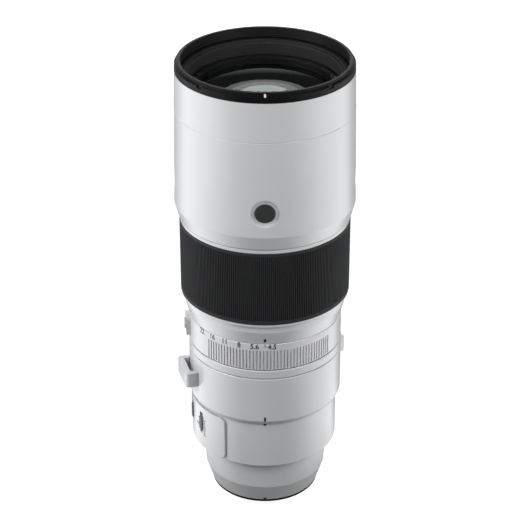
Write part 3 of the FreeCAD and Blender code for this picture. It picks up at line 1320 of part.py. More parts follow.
grouped("guide_rods", [
    rod("guide_rod_1", s.rod_radius, focus_frame_low + s.rod_inset, focus_frame_top - s.rod_inset,
        rod_circle, 90),
    rod("guide_rod_2", s.rod_radius, focus_frame_low + s.rod_inset, focus_frame_top - s.rod_inset,
        rod_circle, 270)])

carriage = new_body("focus_carriage")
section = section_sketch(carriage, "carriage_section")
outline(section, [
    (group_radius - s.holder_ledge, carriage_low), (carriage_radius, carriage_low),
    (carriage_radius, carriage_low + s.carriage_plate),
    (group_radius + s.holder_wall, carriage_low + s.carriage_plate + s.holder_slope),
    (group_radius + s.holder_wall, carriage_low + s.carriage_length),
    (group_radius + s.loose_fit, carriage_low + s.carriage_length),
    (group_radius + s.loose_fit, carriage_low + s.holder_floor),
    (group_radius - s.holder_ledge, carriage_low + s.holder_floor)])
revolve(carriage, "carriage_turned", section)
bush_sketch = level_sketch(carriage, "bush_sketch", carriage_low, 90)
ring_outline(bush_sketch, 0, -rod_circle, s.rod_radius + s.bush_wall)
bush = raise_pad(carriage, "bush", bush_sketch, s.carriage_length)
bore_sketch = level_sketch(carriage, "bush_bore_sketch", carriage_low - s.overrun, 90)
ring_outline(bore_sketch, 0, -rod_circle, s.rod_radius + s.pin_hole_play)
bush_bore = raise_pad(carriage, "bush_bore", bore_sketch, s.carriage_length + s.overrun * 2, cut=True)
around(carriage, "bushes", [bush, bush_bore], s.rod_count)
register("focus_carriage", carriage)
group_low = carriage_low + s.holder_floor
glass("focus_element", group_radius, group_low, group_low + s.group_thickness, s.group_curve,
      s.group_hollow, s.group_hollow_depth)

# Iris: nine blades, each on its own pivot pin in the housing and its own drive pin in the ring above
blade_stack = s.blade_pitch * s.blade_count
iris_height = s.iris_floor + s.blade_play * 2 + blade_stack + s.drive_play + s.drive_ring_height
iris_wall_top = focus_frame_low - s.iris_gap - s.iris_cover_thickness
iris_low = iris_wall_top - iris_height
blade_low = iris_low + s.iris_floor + s.blade_play
drive_low = blade_low + blade_stack + s.drive_play
iris_bore = unit_radius - s.iris_wall

housing = new_body("iris_housing")
section = section_sketch(housing, "housing_section")
outline(section, [
    (iris_opening, iris_low), (unit_radius, iris_low), (unit_radius, iris_wall_top),
    (iris_bore, iris_wall_top),
    (iris_bore, iris_low + s.iris_floor), (iris_opening, iris_low + s.iris_floor)])
revolve(housing, "housing_turned", section)
pivot_floor = iris_low + s.iris_floor - s.pivot_depth
pivot_sketch = level_sketch(housing, "pivot_sketch", pivot_floor)
ring_outline(pivot_sketch, 0, -pivot_circle, s.pivot_radius + s.pin_hole_play)
pivot_hole = raise_pad(housing, "pivot_hole", pivot_sketch, s.pivot_depth + s.overrun, cut=True)
around(housing, "pivot_holes", [pivot_hole], s.blade_count)
register("iris_housing", housing)
turned("iris_cover", [
    (iris_opening, iris_wall_top), (unit_radius, iris_wall_top),
    (unit_radius, iris_wall_top + s.iris_cover_thickness),
    (iris_opening, iris_wall_top + s.iris_cover_thickness)])


def pin_path(share):
    """Where a drive pin sits in the drive ring's own frame after a share of the closing turn."""
    swing = s.blade_swing * share
    turn = s.ring_turn * share
    across = s.pin_arm * cosine(swing)
    down = pivot_circle - s.pin_arm * sine(swing)
    return (across * cosine(turn) - down * sine(turn), -(down * cosine(turn) + across * sine(turn)))


drive = new_body("iris_drive_ring")
section = section_sketch(drive, "drive_section")
box_outline(section, drive_bore, iris_bore - s.running_fit, drive_low, drive_low + s.drive_ring_height)
revolve(drive, "drive_turned", section)
cam_sketch = level_sketch(drive, "cam_sketch", drive_low - s.overrun)
cam_half = s.pivot_radius + s.cam_play
path = [pin_path(0), pin_path(0.5), pin_path(1)]


def beside(index, side):
    """A corner of the cam slot, beside one point of the pin's path."""
    before = path[max(index - 1, 0)]
    after = path[min(index + 1, 2)]
    run_across = after[0].value - before[0].value
    run_up = after[1].value - before[1].value
    run = math.hypot(run_across, run_up)
    beyond = (index - 1) * cam_half.value
    across = path[index][0] + (beyond * run_across - side * cam_half.value * run_up) / run
    up = path[index][1] + (beyond * run_up + side * cam_half.value * run_across) / run
    return (across, up)


outline(cam_sketch,
        [beside(0, 1), beside(1, 1), beside(2, 1), beside(2, -1), beside(1, -1), beside(0, -1)])
cam = raise_pad(drive, "cam", cam_sketch, s.drive_ring_height + s.overrun * 2, cut=True)
around(drive, "cams", [cam], s.blade_count)
register("iris_drive_ring", drive)


def blade_outline(sketch):
    """Crescent of the blade with an ear that reaches out to its pins; the pivot lies at azimuth 0."""
    middle = (blade_inner + blade_outer) / 2
    corners = []
    steps = 10
    for number in range(steps + 1):
        angle = s.blade_span * number / steps
        corners.append((blade_inner * sine(angle), -(blade_inner * cosine(angle))))
    tip = s.blade_span + s.blade_tip
    corners.append((middle * sine(tip), -(middle * cosine(tip))))
    for number in range(steps, 1, -1):
        angle = s.blade_span * number / steps
        corners.append((blade_outer * sine(angle), -(blade_outer * cosine(angle))))
    corners.append((s.pin_arm + s.blade_ear, -pivot_circle))
    corners.append((s.pin_arm + s.blade_ear / 2, -(pivot_circle + s.blade_ear)))
    corners.append((-s.blade_ear / 2, -(pivot_circle + s.blade_ear)))
    corners.append((-s.blade_ear, -pivot_circle))
    outline(sketch, corners)


for number in range(int(s.blade_count.value)):
    name = "iris_blade_" + str(number + 1)
    blade = new_body(name)
    level = blade_low + s.blade_pitch * number
    leaf = level_sketch(blade, name + "_leaf_sketch", level)
    blade_outline(leaf)
    raise_pad(blade, name + "_leaf", leaf, s.blade_thickness)
    pivot_end = pivot_floor + s.pin_end_play * 2
    pivot = level_sketch(blade, name + "_pivot_sketch", pivot_end)
    ring_outline(pivot, 0, -pivot_circle, s.pivot_radius)
    raise_pad(blade, name + "_pivot", pivot, level - pivot_end + s.blade_thickness)
    follower = level_sketch(blade, name + "_pin_sketch", level)
    ring_outline(follower, s.pin_arm, -pivot_circle, s.pivot_radius)
    raise_pad(blade, name + "_pin", follower,
              drive_low + s.drive_ring_height - level - s.pin_end_play * 2)
    place_turn(blade, Size(number, str(number)) * 360 / s.blade_count)
    register(name, blade)

# Stabiliser: a frame that shifts sideways in its base, and a lens holder that shifts in the frame
base_low = iris_low - s.base_gap - s.base_length
base_floor = base_low + s.flange_step
base_bore = unit_radius - s.frame_wall
turned("stabiliser_base", [
    (frame_opening, base_low), (unit_radius, base_low), (unit_radius, base_low + s.base_length),
    (base_bore, base_low + s.base_length), (base_bore, base_floor), (frame_opening, base_floor)])
frame_radius = base_bore - s.shift - s.loose_fit
stage_low = base_floor + s.stage_gap
turned("stabiliser_frame", [
    (frame_opening, stage_low), (frame_radius, stage_low), (frame_radius, stage_low + s.stage_height),
    (frame_opening, stage_low + s.stage_height)])
holder_low = stage_low + s.stage_height + s.stage_gap
holder_radius = frame_radius - s.shift - s.weld
turned("stabiliser_holder", [
    (steady_radius - s.holder_ledge, holder_low), (holder_radius, holder_low),
    (holder_radius, holder_low + s.stage_height),
    (steady_radius + s.holder_wall, holder_low + s.stage_height + s.holder_slope),
    (steady_radius + s.holder_wall, holder_low + s.holder_height),
    (steady_radius + s.loose_fit, holder_low + s.holder_height),
    (steady_radius + s.loose_fit, holder_low + s.holder_floor),
    (steady_radius - s.holder_ledge, holder_low + s.holder_floor)])
steady_low = holder_low + s.holder_floor
glass("stabiliser_element", steady_radius, steady_low, steady_low + s.steady_thickness, s.steady_curve,
      s.steady_hollow, s.steady_hollow_depth)

# Rear cell and the rearmost element
rear_cell_low = s.core_low + s.rear_cell_lift
turned("rear_cell", [
    (rear_element_radius - s.holder_ledge, rear_cell_low), (unit_radius, rear_cell_low),
    (unit_radius, rear_cell_low + s.cell_length),
    (unit_radius - s.rear_cell_wall, rear_cell_low + s.cell_length),
    (rear_element_radius + s.holder_wall, rear_cell_low + s.rear_seat_length),
    (rear_element_radius + s.loose_fit, rear_cell_low + s.rear_seat_length),
    (rear_element_radius + s.loose_fit, rear_cell_low + s.holder_floor),
    (rear_element_radius - s.holder_ledge, rear_cell_low + s.holder_floor)])
rear_glass_low = rear_cell_low + s.holder_floor
glass("rear_element", rear_element_radius, rear_glass_low, rear_glass_low + s.rear_thickness,
      s.rear_curve, s.rear_hollow,
      s.rear_hollow_depth)

# Check every object, then write each sub-part
doc.recompute()
for thing in doc.Objects:
    if "Invalid" in thing.State or "Error" in thing.State:
        raise ValueError("failed object: " + thing.Name + " " + str(thing.State))
for label, thing in sub_parts.items():
    if thing.Shape.isNull() or not thing.Shape.isValid():
        raise ValueError("bad shape: " + label)
os.makedirs("parts", exist_ok=True)
for label, thing in sub_parts.items():
    thing.Shape.exportStep("parts/" + label + ".step")
print(len(sub_parts), "sub-parts written")
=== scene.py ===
import math
import bmesh
import bpy
from mathutils import Matrix, Vector
from mathutils.bvhtree import BVHTree


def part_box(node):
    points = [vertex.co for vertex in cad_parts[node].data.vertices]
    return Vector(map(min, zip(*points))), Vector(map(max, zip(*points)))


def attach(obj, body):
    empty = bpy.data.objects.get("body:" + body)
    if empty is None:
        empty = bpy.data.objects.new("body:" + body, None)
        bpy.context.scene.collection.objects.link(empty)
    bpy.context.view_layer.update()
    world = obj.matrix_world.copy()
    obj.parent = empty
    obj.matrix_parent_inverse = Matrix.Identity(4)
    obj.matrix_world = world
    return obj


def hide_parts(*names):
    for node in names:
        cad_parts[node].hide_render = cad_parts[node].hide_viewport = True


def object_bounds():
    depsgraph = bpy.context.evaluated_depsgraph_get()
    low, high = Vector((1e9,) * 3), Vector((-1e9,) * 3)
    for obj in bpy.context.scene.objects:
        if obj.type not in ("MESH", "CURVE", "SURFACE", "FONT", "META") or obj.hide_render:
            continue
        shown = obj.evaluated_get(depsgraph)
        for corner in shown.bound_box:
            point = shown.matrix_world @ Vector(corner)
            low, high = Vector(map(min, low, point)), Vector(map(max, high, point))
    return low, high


# %% [markdown]
# A long white telephoto lens stands on its rear mount. The metal tubes, rings, buttons and glass are
# already solid parts. They could be modelled here once more, but two models of one lens soon differ,
# so this file loads the solids, keeps their shapes and gives them light, finish and the fine marks
# that a machine engraves at the end.

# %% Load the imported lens
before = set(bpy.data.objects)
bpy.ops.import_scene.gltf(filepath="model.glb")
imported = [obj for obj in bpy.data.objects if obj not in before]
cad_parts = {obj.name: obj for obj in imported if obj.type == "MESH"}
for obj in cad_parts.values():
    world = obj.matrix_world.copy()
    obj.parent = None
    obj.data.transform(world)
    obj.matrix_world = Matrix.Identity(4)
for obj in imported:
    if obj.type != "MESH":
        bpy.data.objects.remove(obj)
solid_box = [list(corner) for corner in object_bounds()]
mm = 0.001

# %% [markdown]
# Everything on a lens is placed by three numbers: how far round, how far from the optical axis and
# how high. Zero degrees faces the camera, and the angle grows towards the right. Blender wants X, Y and
# Z in metres, so one function does that sum. Heights are read from the solids, never typed in.


# %% Point on the lens
def spot(azimuth, radius, height):
    """The place at an azimuth in degrees, a radius and a height in millimetres."""
    angle = math.radians(azimuth)
    return Vector((radius * math.sin(angle), -radius * math.cos(angle), height)) * mm


def top(node):
    """Upper end of a solid, in millimetres above the rear flange."""
    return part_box(node)[1][2] / mm


def bottom(node):
    """Lower end of a solid, in millimetres above the rear flange."""
    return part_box(node)[0][2] / mm


print("lip of the front ring at", round(top("front_ring"), 2), "mm")

# %% [markdown]
# A picture of a lens is taken with a longish lens from some distance, so that its top and foot are
# nearly the same width. A camera without perspective would hide that the front ring is nearer than the
# foot. This one looks down at about 28 degrees, from the side of the index marks.

# %% Camera
PICTURE_WIDTH = 530
FOCAL_PIXELS = 1800
CAMERA_DISTANCE = 0.930
CAMERA_HEIGHT = 0.6523
AIM_HEIGHT = 0.14736
camera_data = bpy.data.cameras.new("photo_camera")
camera_data.lens = FOCAL_PIXELS / PICTURE_WIDTH * camera_data.sensor_width
camera_data.clip_start = 0.05
camera_data.clip_end = 60
camera = bpy.data.objects.new("photo_camera", camera_data)
bpy.context.scene.collection.objects.link(camera)
camera.location = (0, -CAMERA_DISTANCE, CAMERA_HEIGHT)
aim = Vector((0, 0, AIM_HEIGHT)) - camera.location
camera.rotation_euler = aim.to_track_quat("-Z", "Y").to_euler()
bpy.context.scene.camera = camera
bpy.context.scene.view_settings.view_transform = "Standard"
print("camera lens", round(camera_data.lens, 2), "mm")

# %% [markdown]
# A finish is a small network of nodes. It could be wired up one Math node at a time, but that is hard
# to read, so one class wraps a node's output and lets the maths be written as maths: a plus sign
# between two outputs adds a Math node.


# %% Shader maths as expressions
class Value:
    """The output of a node. Sums and products of it add the Math nodes they need."""

    def __init__(self, nodes, socket):
        self.nodes = nodes
        self.socket = socket

    def maths(self, operation, first, second=0.0):
        return self.nodes.node("ShaderNodeMath", {"operation": operation}, {0: first, 1: second})

    def __add__(self, other):
        return self.maths("ADD", self, other)

    def __radd__(self, other):
        return self.maths("ADD", other, self)

    def __sub__(self, other):
        return self.maths("SUBTRACT", self, other)

    def __rsub__(self, other):
        return self.maths("SUBTRACT", other, self)

    def __mul__(self, other):
        return self.maths("MULTIPLY", self, other)

    def __rmul__(self, other):
        return self.maths("MULTIPLY", other, self)

    def __truediv__(self, other):
        return self.maths("DIVIDE", self, other)

    def __pow__(self, other):
        return self.maths("POWER", self, other)

    def wave(self):
        return self.maths("SINE", self)

    def turn(self, other):
        """The angle of a point whose sides are the two values."""
        return self.maths("ARCTAN2", self, other)

    def above(self, limit):
        return self.maths("GREATER_THAN", self, limit)

    def below(self, limit):
        return self.maths("LESS_THAN", self, limit)

    def limited(self):
        """The same value, kept between 0 and 1."""
        return self.nodes.node("ShaderNodeClamp", {}, {0: self})


print("outputs of nodes can be added, multiplied and compared")

# %% [markdown]
# Every other node is made by one method, from its type, its settings and the values or links of its
# sockets. The world has nodes as well as the materials, so the method belongs to a class for any tree.


# %% Tree of nodes
class Nodes:
    """A tree of nodes, made from expressions."""

    def __init__(self, tree):
        self.tree = tree

    def plug(self, socket, value):
        """Links a socket to an output, or sets the number or colour that it holds."""
        if isinstance(value, Value):
            self.tree.links.new(value.socket, socket)
        elif isinstance(value, tuple) and len(value) == 3 and socket.type == "RGBA":
            socket.default_value = value + (1,)
        else:
            socket.default_value = value

    def node(self, kind, settings=None, inputs=None, output=0):
        """Makes a node, sets its settings and then its sockets, and gives one of its outputs."""
        made = self.tree.nodes.new(kind)
        for name, value in (settings or {}).items():
            if name == "stops":
                for stop, (position, shade) in zip(made.color_ramp.elements, value):
                    stop.position = position
                    stop.color = (shade, shade, shade, 1)
            else:
                setattr(made, name, value)
        for name, value in (inputs or {}).items():
            self.plug(made.inputs[name], value)
        return None if output is None else Value(self, made.outputs[output])

    def ramp(self, value, low, high):
        """0 below low, 1 above high, and a straight rise between them."""
        return self.node("ShaderNodeValToRGB", {"stops": ((low, 0.0), (high, 1.0))}, {0: value})

    def blend(self, mask, first, second):
        """One colour where the mask is 0, and another where it is 1."""
        inputs = {"Factor": mask, "A": first, "B": second}
        return self.node("ShaderNodeMix", {"data_type": "RGBA"}, inputs, "Result")

    def background_rays(self):
        """1 for the rays that should see the white surround, 0 for the light it gives."""
        rays = "ShaderNodeLightPath"
        shiny = self.node(rays, output="Is Glossy Ray") + self.node(rays, output="Is Transmission Ray")
        return (shiny + self.node(rays, output="Is Camera Ray")).limited()


print("a method for any node is ready")

# %% [markdown]
# A finish is the skin of one surface: paint, rubber or plated metal. A picture could be wrapped round
# each tube, but it would need a seam and go soft in a close view. Noise, relief, edges and distances
# are worked out from the solid itself instead, at any size, and they feed the few sockets that vary.
# What is the same all over is set on the shader once.


# %% Finish of a surface
class Finish(Nodes):
    """A material for one surface of the lens. The keywords are sockets that stay the same all over."""

    def __init__(self, name, **fixed):
        self.material = bpy.data.materials.new(name)
        self.material.use_nodes = True
        super().__init__(self.material.node_tree)
        self.skin = self.tree.nodes["Principled BSDF"]
        for socket, value in fixed.items():
            self.set(socket.replace("_", " "), value)
        self.place = self.node("ShaderNodeTexCoord", output="Object")
        self.surface = Value(self, self.skin.outputs[0])

    def set(self, socket, value):
        self.plug(self.skin.inputs[socket], value)

    def noise(self, grain, detail=3.0):
        """Cloudy noise from 0 to 1 with a grain in millimetres."""
        inputs = {"Vector": self.place, "Scale": 1 / (grain * mm), "Detail": detail}
        return self.node("ShaderNodeTexNoise", {}, inputs)

    def spots(self, grain):
        """Distance from scattered points a grain in millimetres apart."""
        return self.node("ShaderNodeTexVoronoi", {}, {"Vector": self.place, "Scale": 1 / (grain * mm)})

    def part(self, axis):
        return self.node("ShaderNodeSeparateXYZ", {}, {0: self.place}, output=axis)

    def cover(self, mask, shader):
        """Lays another shader over the finish where the mask is 1."""
        self.surface = self.node("ShaderNodeMixShader", {}, {0: mask, 1: self.surface, 2: shader})
        self.plug(self.tree.nodes["Material Output"].inputs[0], self.surface)

    def from_axis(self):
        """Distance from the optical axis."""
        return (self.part("X") ** 2.0 + self.part("Y") ** 2.0) ** 0.5

    def edge(self, radius):
        """1 along convex and concave edges, 0 on open faces."""
        plain = self.node("ShaderNodeNewGeometry", output="Normal")
        soft = self.node("ShaderNodeBevel", {"samples": 4}, {"Radius": radius * mm})
        likeness = self.node("ShaderNodeVectorMath", {"operation": "DOT_PRODUCT"},
                             {0: plain, 1: soft}, "Value")
        return self.ramp(1.0 - likeness, 0.01, 0.12)

    def crease(self, reach):
        """1 deep in a joint between two pieces, 0 in the open. The reach is in millimetres."""
        open_sky = self.node("ShaderNodeAmbientOcclusion", {"samples": 6}, {"Distance": reach * mm}, "AO")
        return self.ramp(1.0 - open_sky, 0.30, 0.78)

    def raised(self, height, depth, rounding=0.0):
        """Relief of a depth in millimetres, on edges rounded by a radius in millimetres."""
        inputs = {"Height": height, "Distance": depth * mm, "Strength": 1.0}
        if rounding:
            inputs["Normal"] = self.node("ShaderNodeBevel", {"samples": 4}, {"Radius": rounding * mm})
        self.set("Normal", self.node("ShaderNodeBump", {}, inputs))


print("a class for finishes is ready")

# %% [markdown]
# A solid comes with a plain material in its slots. The finish could be laid over it as a second skin,
# but changing what the slots hold leaves shape and place alone.


# %% Finish given to solids
def paint(finish, *nodes):
    """Gives these solids one finish."""
    for node in nodes:
        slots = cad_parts[node].data.materials
        for number in range(len(slots)):
            slots[number] = finish.material
    print(finish.material.name + ":", *nodes)


print("solids wait for paint:", len(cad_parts))

# %% [markdown]
# White lens barrels are aluminium tubes sprayed with a heat-shielding paint. It is off-white and
# satin, with a very fine orange peel, faint clouds where the coat is thicker and specks of dust. Over
# an edge it turns paler: partly the paint thins there, partly it is a painted highlight of the lamps.
# The grain is small, so it lives in the bump and not in the mesh. Painted shade darkens the joints and
# corners that ambient occlusion finds: strongly on the rear barrels, faintly on the front barrels and
# the aperture ring, so one function makes a strongly and a faintly shaded version.


# %% White paint
def white_paint(name, crease_shade):
    """Satin off-white. The second argument is the strength of the painted shade in joints and corners."""
    white = Finish(name, Coat_Roughness=0.26, Specular_IOR_Level=0.45)
    cloud = white.noise(35.0, 2.0)
    grain = white.noise(0.5, 3.0)
    speck = white.ramp(white.noise(2.2, 4.0), 0.66, 0.72)
    edge_wear_and_glint = white.edge(0.35)
    coat_colour = white.blend(cloud, (0.675, 0.684, 0.70), (0.725, 0.733, 0.747))
    dusty = white.blend(speck * 0.25, coat_colour, (0.60, 0.60, 0.59))
    # Paler over edges: the paint thins there, and a painted highlight of the lamps lies on them.
    coat_with_edge_glint = white.blend(edge_wear_and_glint * 0.4, dusty, (0.88, 0.88, 0.88))
    # Painted shade: the colour goes nearly black where ambient occlusion finds a joint or a corner.
    white.set("Base Color", white.blend(white.crease(1.4) * crease_shade, coat_with_edge_glint, (0.06, 0.06, 0.065)))
    white.set("Roughness", 0.38 + grain * 0.10 + edge_wear_and_glint * 0.06)
    white.set("Coat Weight", 0.85 + cloud * 0.15)
    white.raised(grain, 0.010, 0.22)
    return white


paint(white_paint("white_paint", 1.0), "focus_sleeve", "mid_barrel", "rear_tube", "aperture_lock_button",
      "collar_ring", "strap_lugs", "tripod_foot", "switch_barrel", "switch_panel", "rear_barrel")
# The painted shade in the joints is faint on the front barrels and the aperture ring.
paint(white_paint("white_clean_paint", 0.12), "name_barrel", "main_barrel", "aperture_ring")

# %% [markdown]
# The front ring is black so that it throws no light into the glass. It is anodised and lightly bead
# blasted: nearly black and satin. Its edges are paler, partly where a hood or a filter rubs them and
# partly as a painted highlight of the lamps. Inside it is a screw thread of one millimetre pitch. A real
# spiral of metal would take thousands of faces. Its ridge climbs one pitch in each turn, so the relief
# is a sine of the height plus the angle round the axis. A mask keeps it to the threaded stretch, whose
# two ends are measured down from the lip.

# %% Satin black of the front ring
THREAD_PITCH = 1.0
THREAD_START = 0.4
THREAD_END = 5.7
BORE_RADIUS = 47.2
satin = Finish("front_ring_black", Specular_IOR_Level=0.08)
blast = satin.noise(0.28, 2.0)
smear = satin.noise(18.0, 3.0)
rubbed_and_glinting_edge = satin.edge(0.25)
lip = top("front_ring")
rise = satin.part("Z")
inside = satin.from_axis().below(BORE_RADIUS * mm)
anodised = satin.blend(inside, (0.0058, 0.0060, 0.0066), (0.014, 0.0144, 0.0152))
# Paler over edges: rubbed by a hood or a filter, and a painted highlight of the lamps.
satin.set("Base Color", satin.blend(rubbed_and_glinting_edge * (0.25 + smear * 0.4), anodised, (0.055, 0.057, 0.06)))
satin.set("Roughness", 0.30 + smear * 0.16)
threaded = inside * rise.above((lip - THREAD_END) * mm) * rise.below((lip - THREAD_START) * mm)
climb = rise * (2 * math.pi / (THREAD_PITCH * mm)) + satin.part("X").turn(satin.part("Y"))
satin.raised(blast * 0.02 + threaded * (climb.wave() * 0.5 + 0.5), 0.12, 0.18)
paint(satin, "front_ring")
print("thread from", round(lip - THREAD_END, 1), "to", round(lip - THREAD_START, 1), "mm")

# %% [markdown]
# Cells and light traps inside are turned on a lathe and blackened, so fine rings run round them.
# A sine of the height along the axis makes the rings, and noise keeps them from looking printed. The
# sharp edges show as thin pale circles: partly bare metal where the black wears off first, partly a
# painted highlight of the lamps.

# %% Turned matt black of the inner metal
LATHE_PITCH = 0.9
turned = Finish("turned_black", Specular_IOR_Level=0.35)
along = turned.part("Z") * (2 * math.pi / (LATHE_PITCH * mm))
lathe = (along + turned.noise(3.0) * 2.0).wave() * 0.5 + 0.5
patina = turned.noise(9.0, 4.0)
bare_and_glinting_edge = turned.edge(0.22)
blacked = turned.blend(patina, (0.012, 0.0123, 0.0127), (0.024, 0.0245, 0.0255))
# Paler over edges: bare metal where the black wears off, and a painted highlight of the lamps.
turned.set("Base Color", turned.blend(bare_and_glinting_edge * 0.8, blacked, (0.10, 0.102, 0.106)))
turned.set("Roughness", 0.55 + patina * 0.2)
turned.raised(lathe, 0.03)
blades = ["iris_blade_" + str(number) for number in range(1, 10)]
paint(turned, "front_retainer", "front_cell", "baffle_tube", "core_tube", "focus_frame", "focus_carriage",
      "iris_housing", "iris_cover", "rear_cell", *blades)

# %% [markdown]
# The focus ring wears a moulded rubber sleeve. New rubber is nearly black with a dull sheen. Fingers
# rub the crests of its ribs to grey. An edge mask would miss ribs this narrow, so the crests are found
# by their distance from the optical axis.

# %% Ribbed rubber
CREST_DEPTH = 0.35
CREST_FADE = 0.3
rubber = Finish("ribbed_rubber", Specular_IOR_Level=0.12)
bloom = rubber.noise(14.0, 4.0)
pores = rubber.noise(0.35, 2.0)
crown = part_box("focus_grip")[1][0]
crest = ((rubber.from_axis() - (crown - CREST_DEPTH * mm)) / (CREST_FADE * mm)).limited()
rubbed_grey = rubber.blend(crest * 0.9 + bloom * 0.1, (0.003, 0.0032, 0.0034), (0.034, 0.035, 0.037))
rubber.set("Base Color", rubbed_grey)
rubber.set("Roughness", 0.56 + bloom * 0.16)
rubber.raised(pores, 0.014, 0.10)
paint(rubber, "focus_grip", "mount_seal")

# %% [markdown]
# The clamp knob and the parts round the contacts are moulded in black nylon, and the sliders in grey.
# The mould is spark eroded, which leaves a leathery grain, and thumbs polish the corners. Both colours
# are one finish, made by a function.


# %% Moulded plastic
def moulded_plastic(name, fresh, polished):
    """Nylon with a leathery grain, in one colour where it is fresh and another where it is worn."""
    moulded = Finish(name, Specular_IOR_Level=0.42)
    leather = moulded.spots(0.45)
    thumbed = moulded.edge(0.3)
    mottle = moulded.noise(6.0, 3.0)
    moulded.set("Base Color", moulded.blend(thumbed * 0.5 + mottle * 0.15, fresh, polished))
    moulded.set("Roughness", 0.56 - thumbed * 0.2 + mottle * 0.06)
    moulded.raised(leather, 0.012, 0.15)
    return moulded


paint(moulded_plastic("moulded_black", (0.014, 0.0142, 0.0148), (0.045, 0.046, 0.048)), "clamp_knob",
      "rear_baffle", "contact_block", "iris_drive_ring", "stabiliser_base", "stabiliser_frame",
      "stabiliser_holder")
paint(moulded_plastic("moulded_grey", (0.20, 0.206, 0.212), (0.36, 0.366, 0.372)), "focus_limit_slider",
      "preset_slider", "stabiliser_slider")

# %% [markdown]
# The four function buttons are soft-touch caps. They are a shade lighter than the ring's rubber,
# very even, and rougher than plastic. A powdery noise in the relief keeps their flat tops from
# mirroring like glass.

# %% Soft-touch buttons
soft_touch = Finish("soft_touch_grey", Specular_IOR_Level=0.4)
powder = soft_touch.noise(0.3, 2.0)
touched = soft_touch.noise(4.0, 3.0)
soft_touch.set("Base Color", soft_touch.blend(touched, (0.0195, 0.0205, 0.0215), (0.028, 0.029, 0.030)))
soft_touch.set("Roughness", 0.52 + touched * 0.14)
soft_touch.raised(powder, 0.010, 0.2)
paint(soft_touch, "function_button_front", "function_button_right", "function_button_rear",
      "function_button_left")

# %% [markdown]
# The rear mount is chromed brass. Turning leaves rings that run round the axis, and the camera's mount
# rubs fine arcs into it. Rings that follow the distance from the axis are a sine of that distance.

# %% Plated mount
RING_PITCH = 0.5
plated = Finish("plated_mount", Metallic=1.0)
outward = plated.from_axis() * (2 * math.pi / (RING_PITCH * mm))
rings = (outward + plated.noise(5.0) * 1.5).wave() * 0.5 + 0.5
scuff = plated.ramp(plated.noise(1.6, 5.0), 0.55, 0.75)
plated.set("Base Color", plated.blend(scuff * 0.4, (0.74, 0.73, 0.71), (0.62, 0.60, 0.57)))
plated.set("Roughness", 0.18 + rings * 0.10 + scuff * 0.18)
plated.raised(rings, 0.004, 0.15)
paint(plated, "mount_plate")

# %% [markdown]
# Screws, rods and the switch brackets under the buttons are steel with a thin coat of zinc. The coat
# is never quite even, so one cloudy noise changes both its colour and its gloss.

# %% Zinc-plated steel
zinc = Finish("zinc_steel", Metallic=1.0)
dull = zinc.noise(1.2, 4.0)
zinc.set("Base Color", zinc.blend(dull, (0.50, 0.50, 0.49), (0.64, 0.63, 0.61)))
zinc.set("Roughness", 0.24 + dull * 0.22)
zinc.raised(zinc.noise(0.2, 2.0), 0.006, 0.12)
paint(zinc, "button_switches", "foot_screws", "mount_screws", "guide_rods")

# %% [markdown]
# Four screws hold the mount. The solid ones are plain studs with round heads, so a copy of them gets
# the cross recess that a screwdriver needs. Dark paint would do from afar, but a real recess has walls
# that catch the light. A boolean cut takes one bar along the radius and one across it out of every
# head, as a punch does in steel. Each bar is centred on the face, so only its upper half cuts.

# %% Cross recesses of the mount screws
HEAD_RADIUS = 1.75
RECESS_SPAN = 2.3
RECESS_WIDTH = 0.55
RECESS_DEPTH = 0.6
screw_circle = (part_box("mount_screws")[1][0] / mm - HEAD_RADIUS) / math.sin(math.radians(45))
heads = bpy.data.objects.new("mount_screw_heads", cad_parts["mount_screws"].data.copy())
bpy.context.scene.collection.objects.link(heads)
cutters = []
for across, along in ((RECESS_SPAN, RECESS_WIDTH), (RECESS_WIDTH, RECESS_SPAN)):
    cross = bmesh.new()
    for azimuth in range(45, 360, 90):
        centre = Matrix.Translation(spot(azimuth, screw_circle, bottom("mount_screws")))
        turn = Matrix.Rotation(math.radians(azimuth), 4, "Z")
        size = Matrix.Diagonal((across * mm, along * mm, RECESS_DEPTH * 2 * mm, 1))
        bmesh.ops.create_cube(cross, size=1.0, matrix=centre @ turn @ size)
    cutter = bpy.data.objects.new("cutter", bpy.data.meshes.new("cutter"))
    cross.to_mesh(cutter.data)
    cross.free()
    bpy.context.scene.collection.objects.link(cutter)
    cutters.append(cutter)
    cut = heads.modifiers.new("recess", "BOOLEAN")
    cut.object = cutter
    cut.solver = "EXACT"
recessed = bpy.data.meshes.new_from_object(heads.evaluated_get(bpy.context.evaluated_depsgraph_get()))
heads.modifiers.clear()
heads.data = recessed
for cutter in cutters:
    bpy.data.objects.remove(cutter)
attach(heads, "barrel")
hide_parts("mount_screws")
print("mount screws with", len(recessed.polygons), "faces")

# %% [markdown]
# Contact pins are turned brass with a thin layer of gold. Each mating wipes them, so they are bright,
# with a slightly duller bloom between the wiped patches.

# %% Gold of the contacts
gold = Finish("contact_gold", Metallic=1.0)
tarnish = gold.noise(0.8, 3.0)
gold.set("Base Color", gold.blend(tarnish, (0.80, 0.58, 0.24), (0.70, 0.47, 0.18)))
gold.set("Roughness", 0.18 + tarnish * 0.2)
gold.raised(gold.noise(0.25, 2.0), 0.003, 0.1)
paint(gold, "contact_pins")

# %% [markdown]
# The circuit board is a ring of glass fibre under green solder mask. Copper tracks lift the mask a
# little and look paler. It sits deep inside, so a cell pattern with thin borders stands for them and
# no track is drawn.

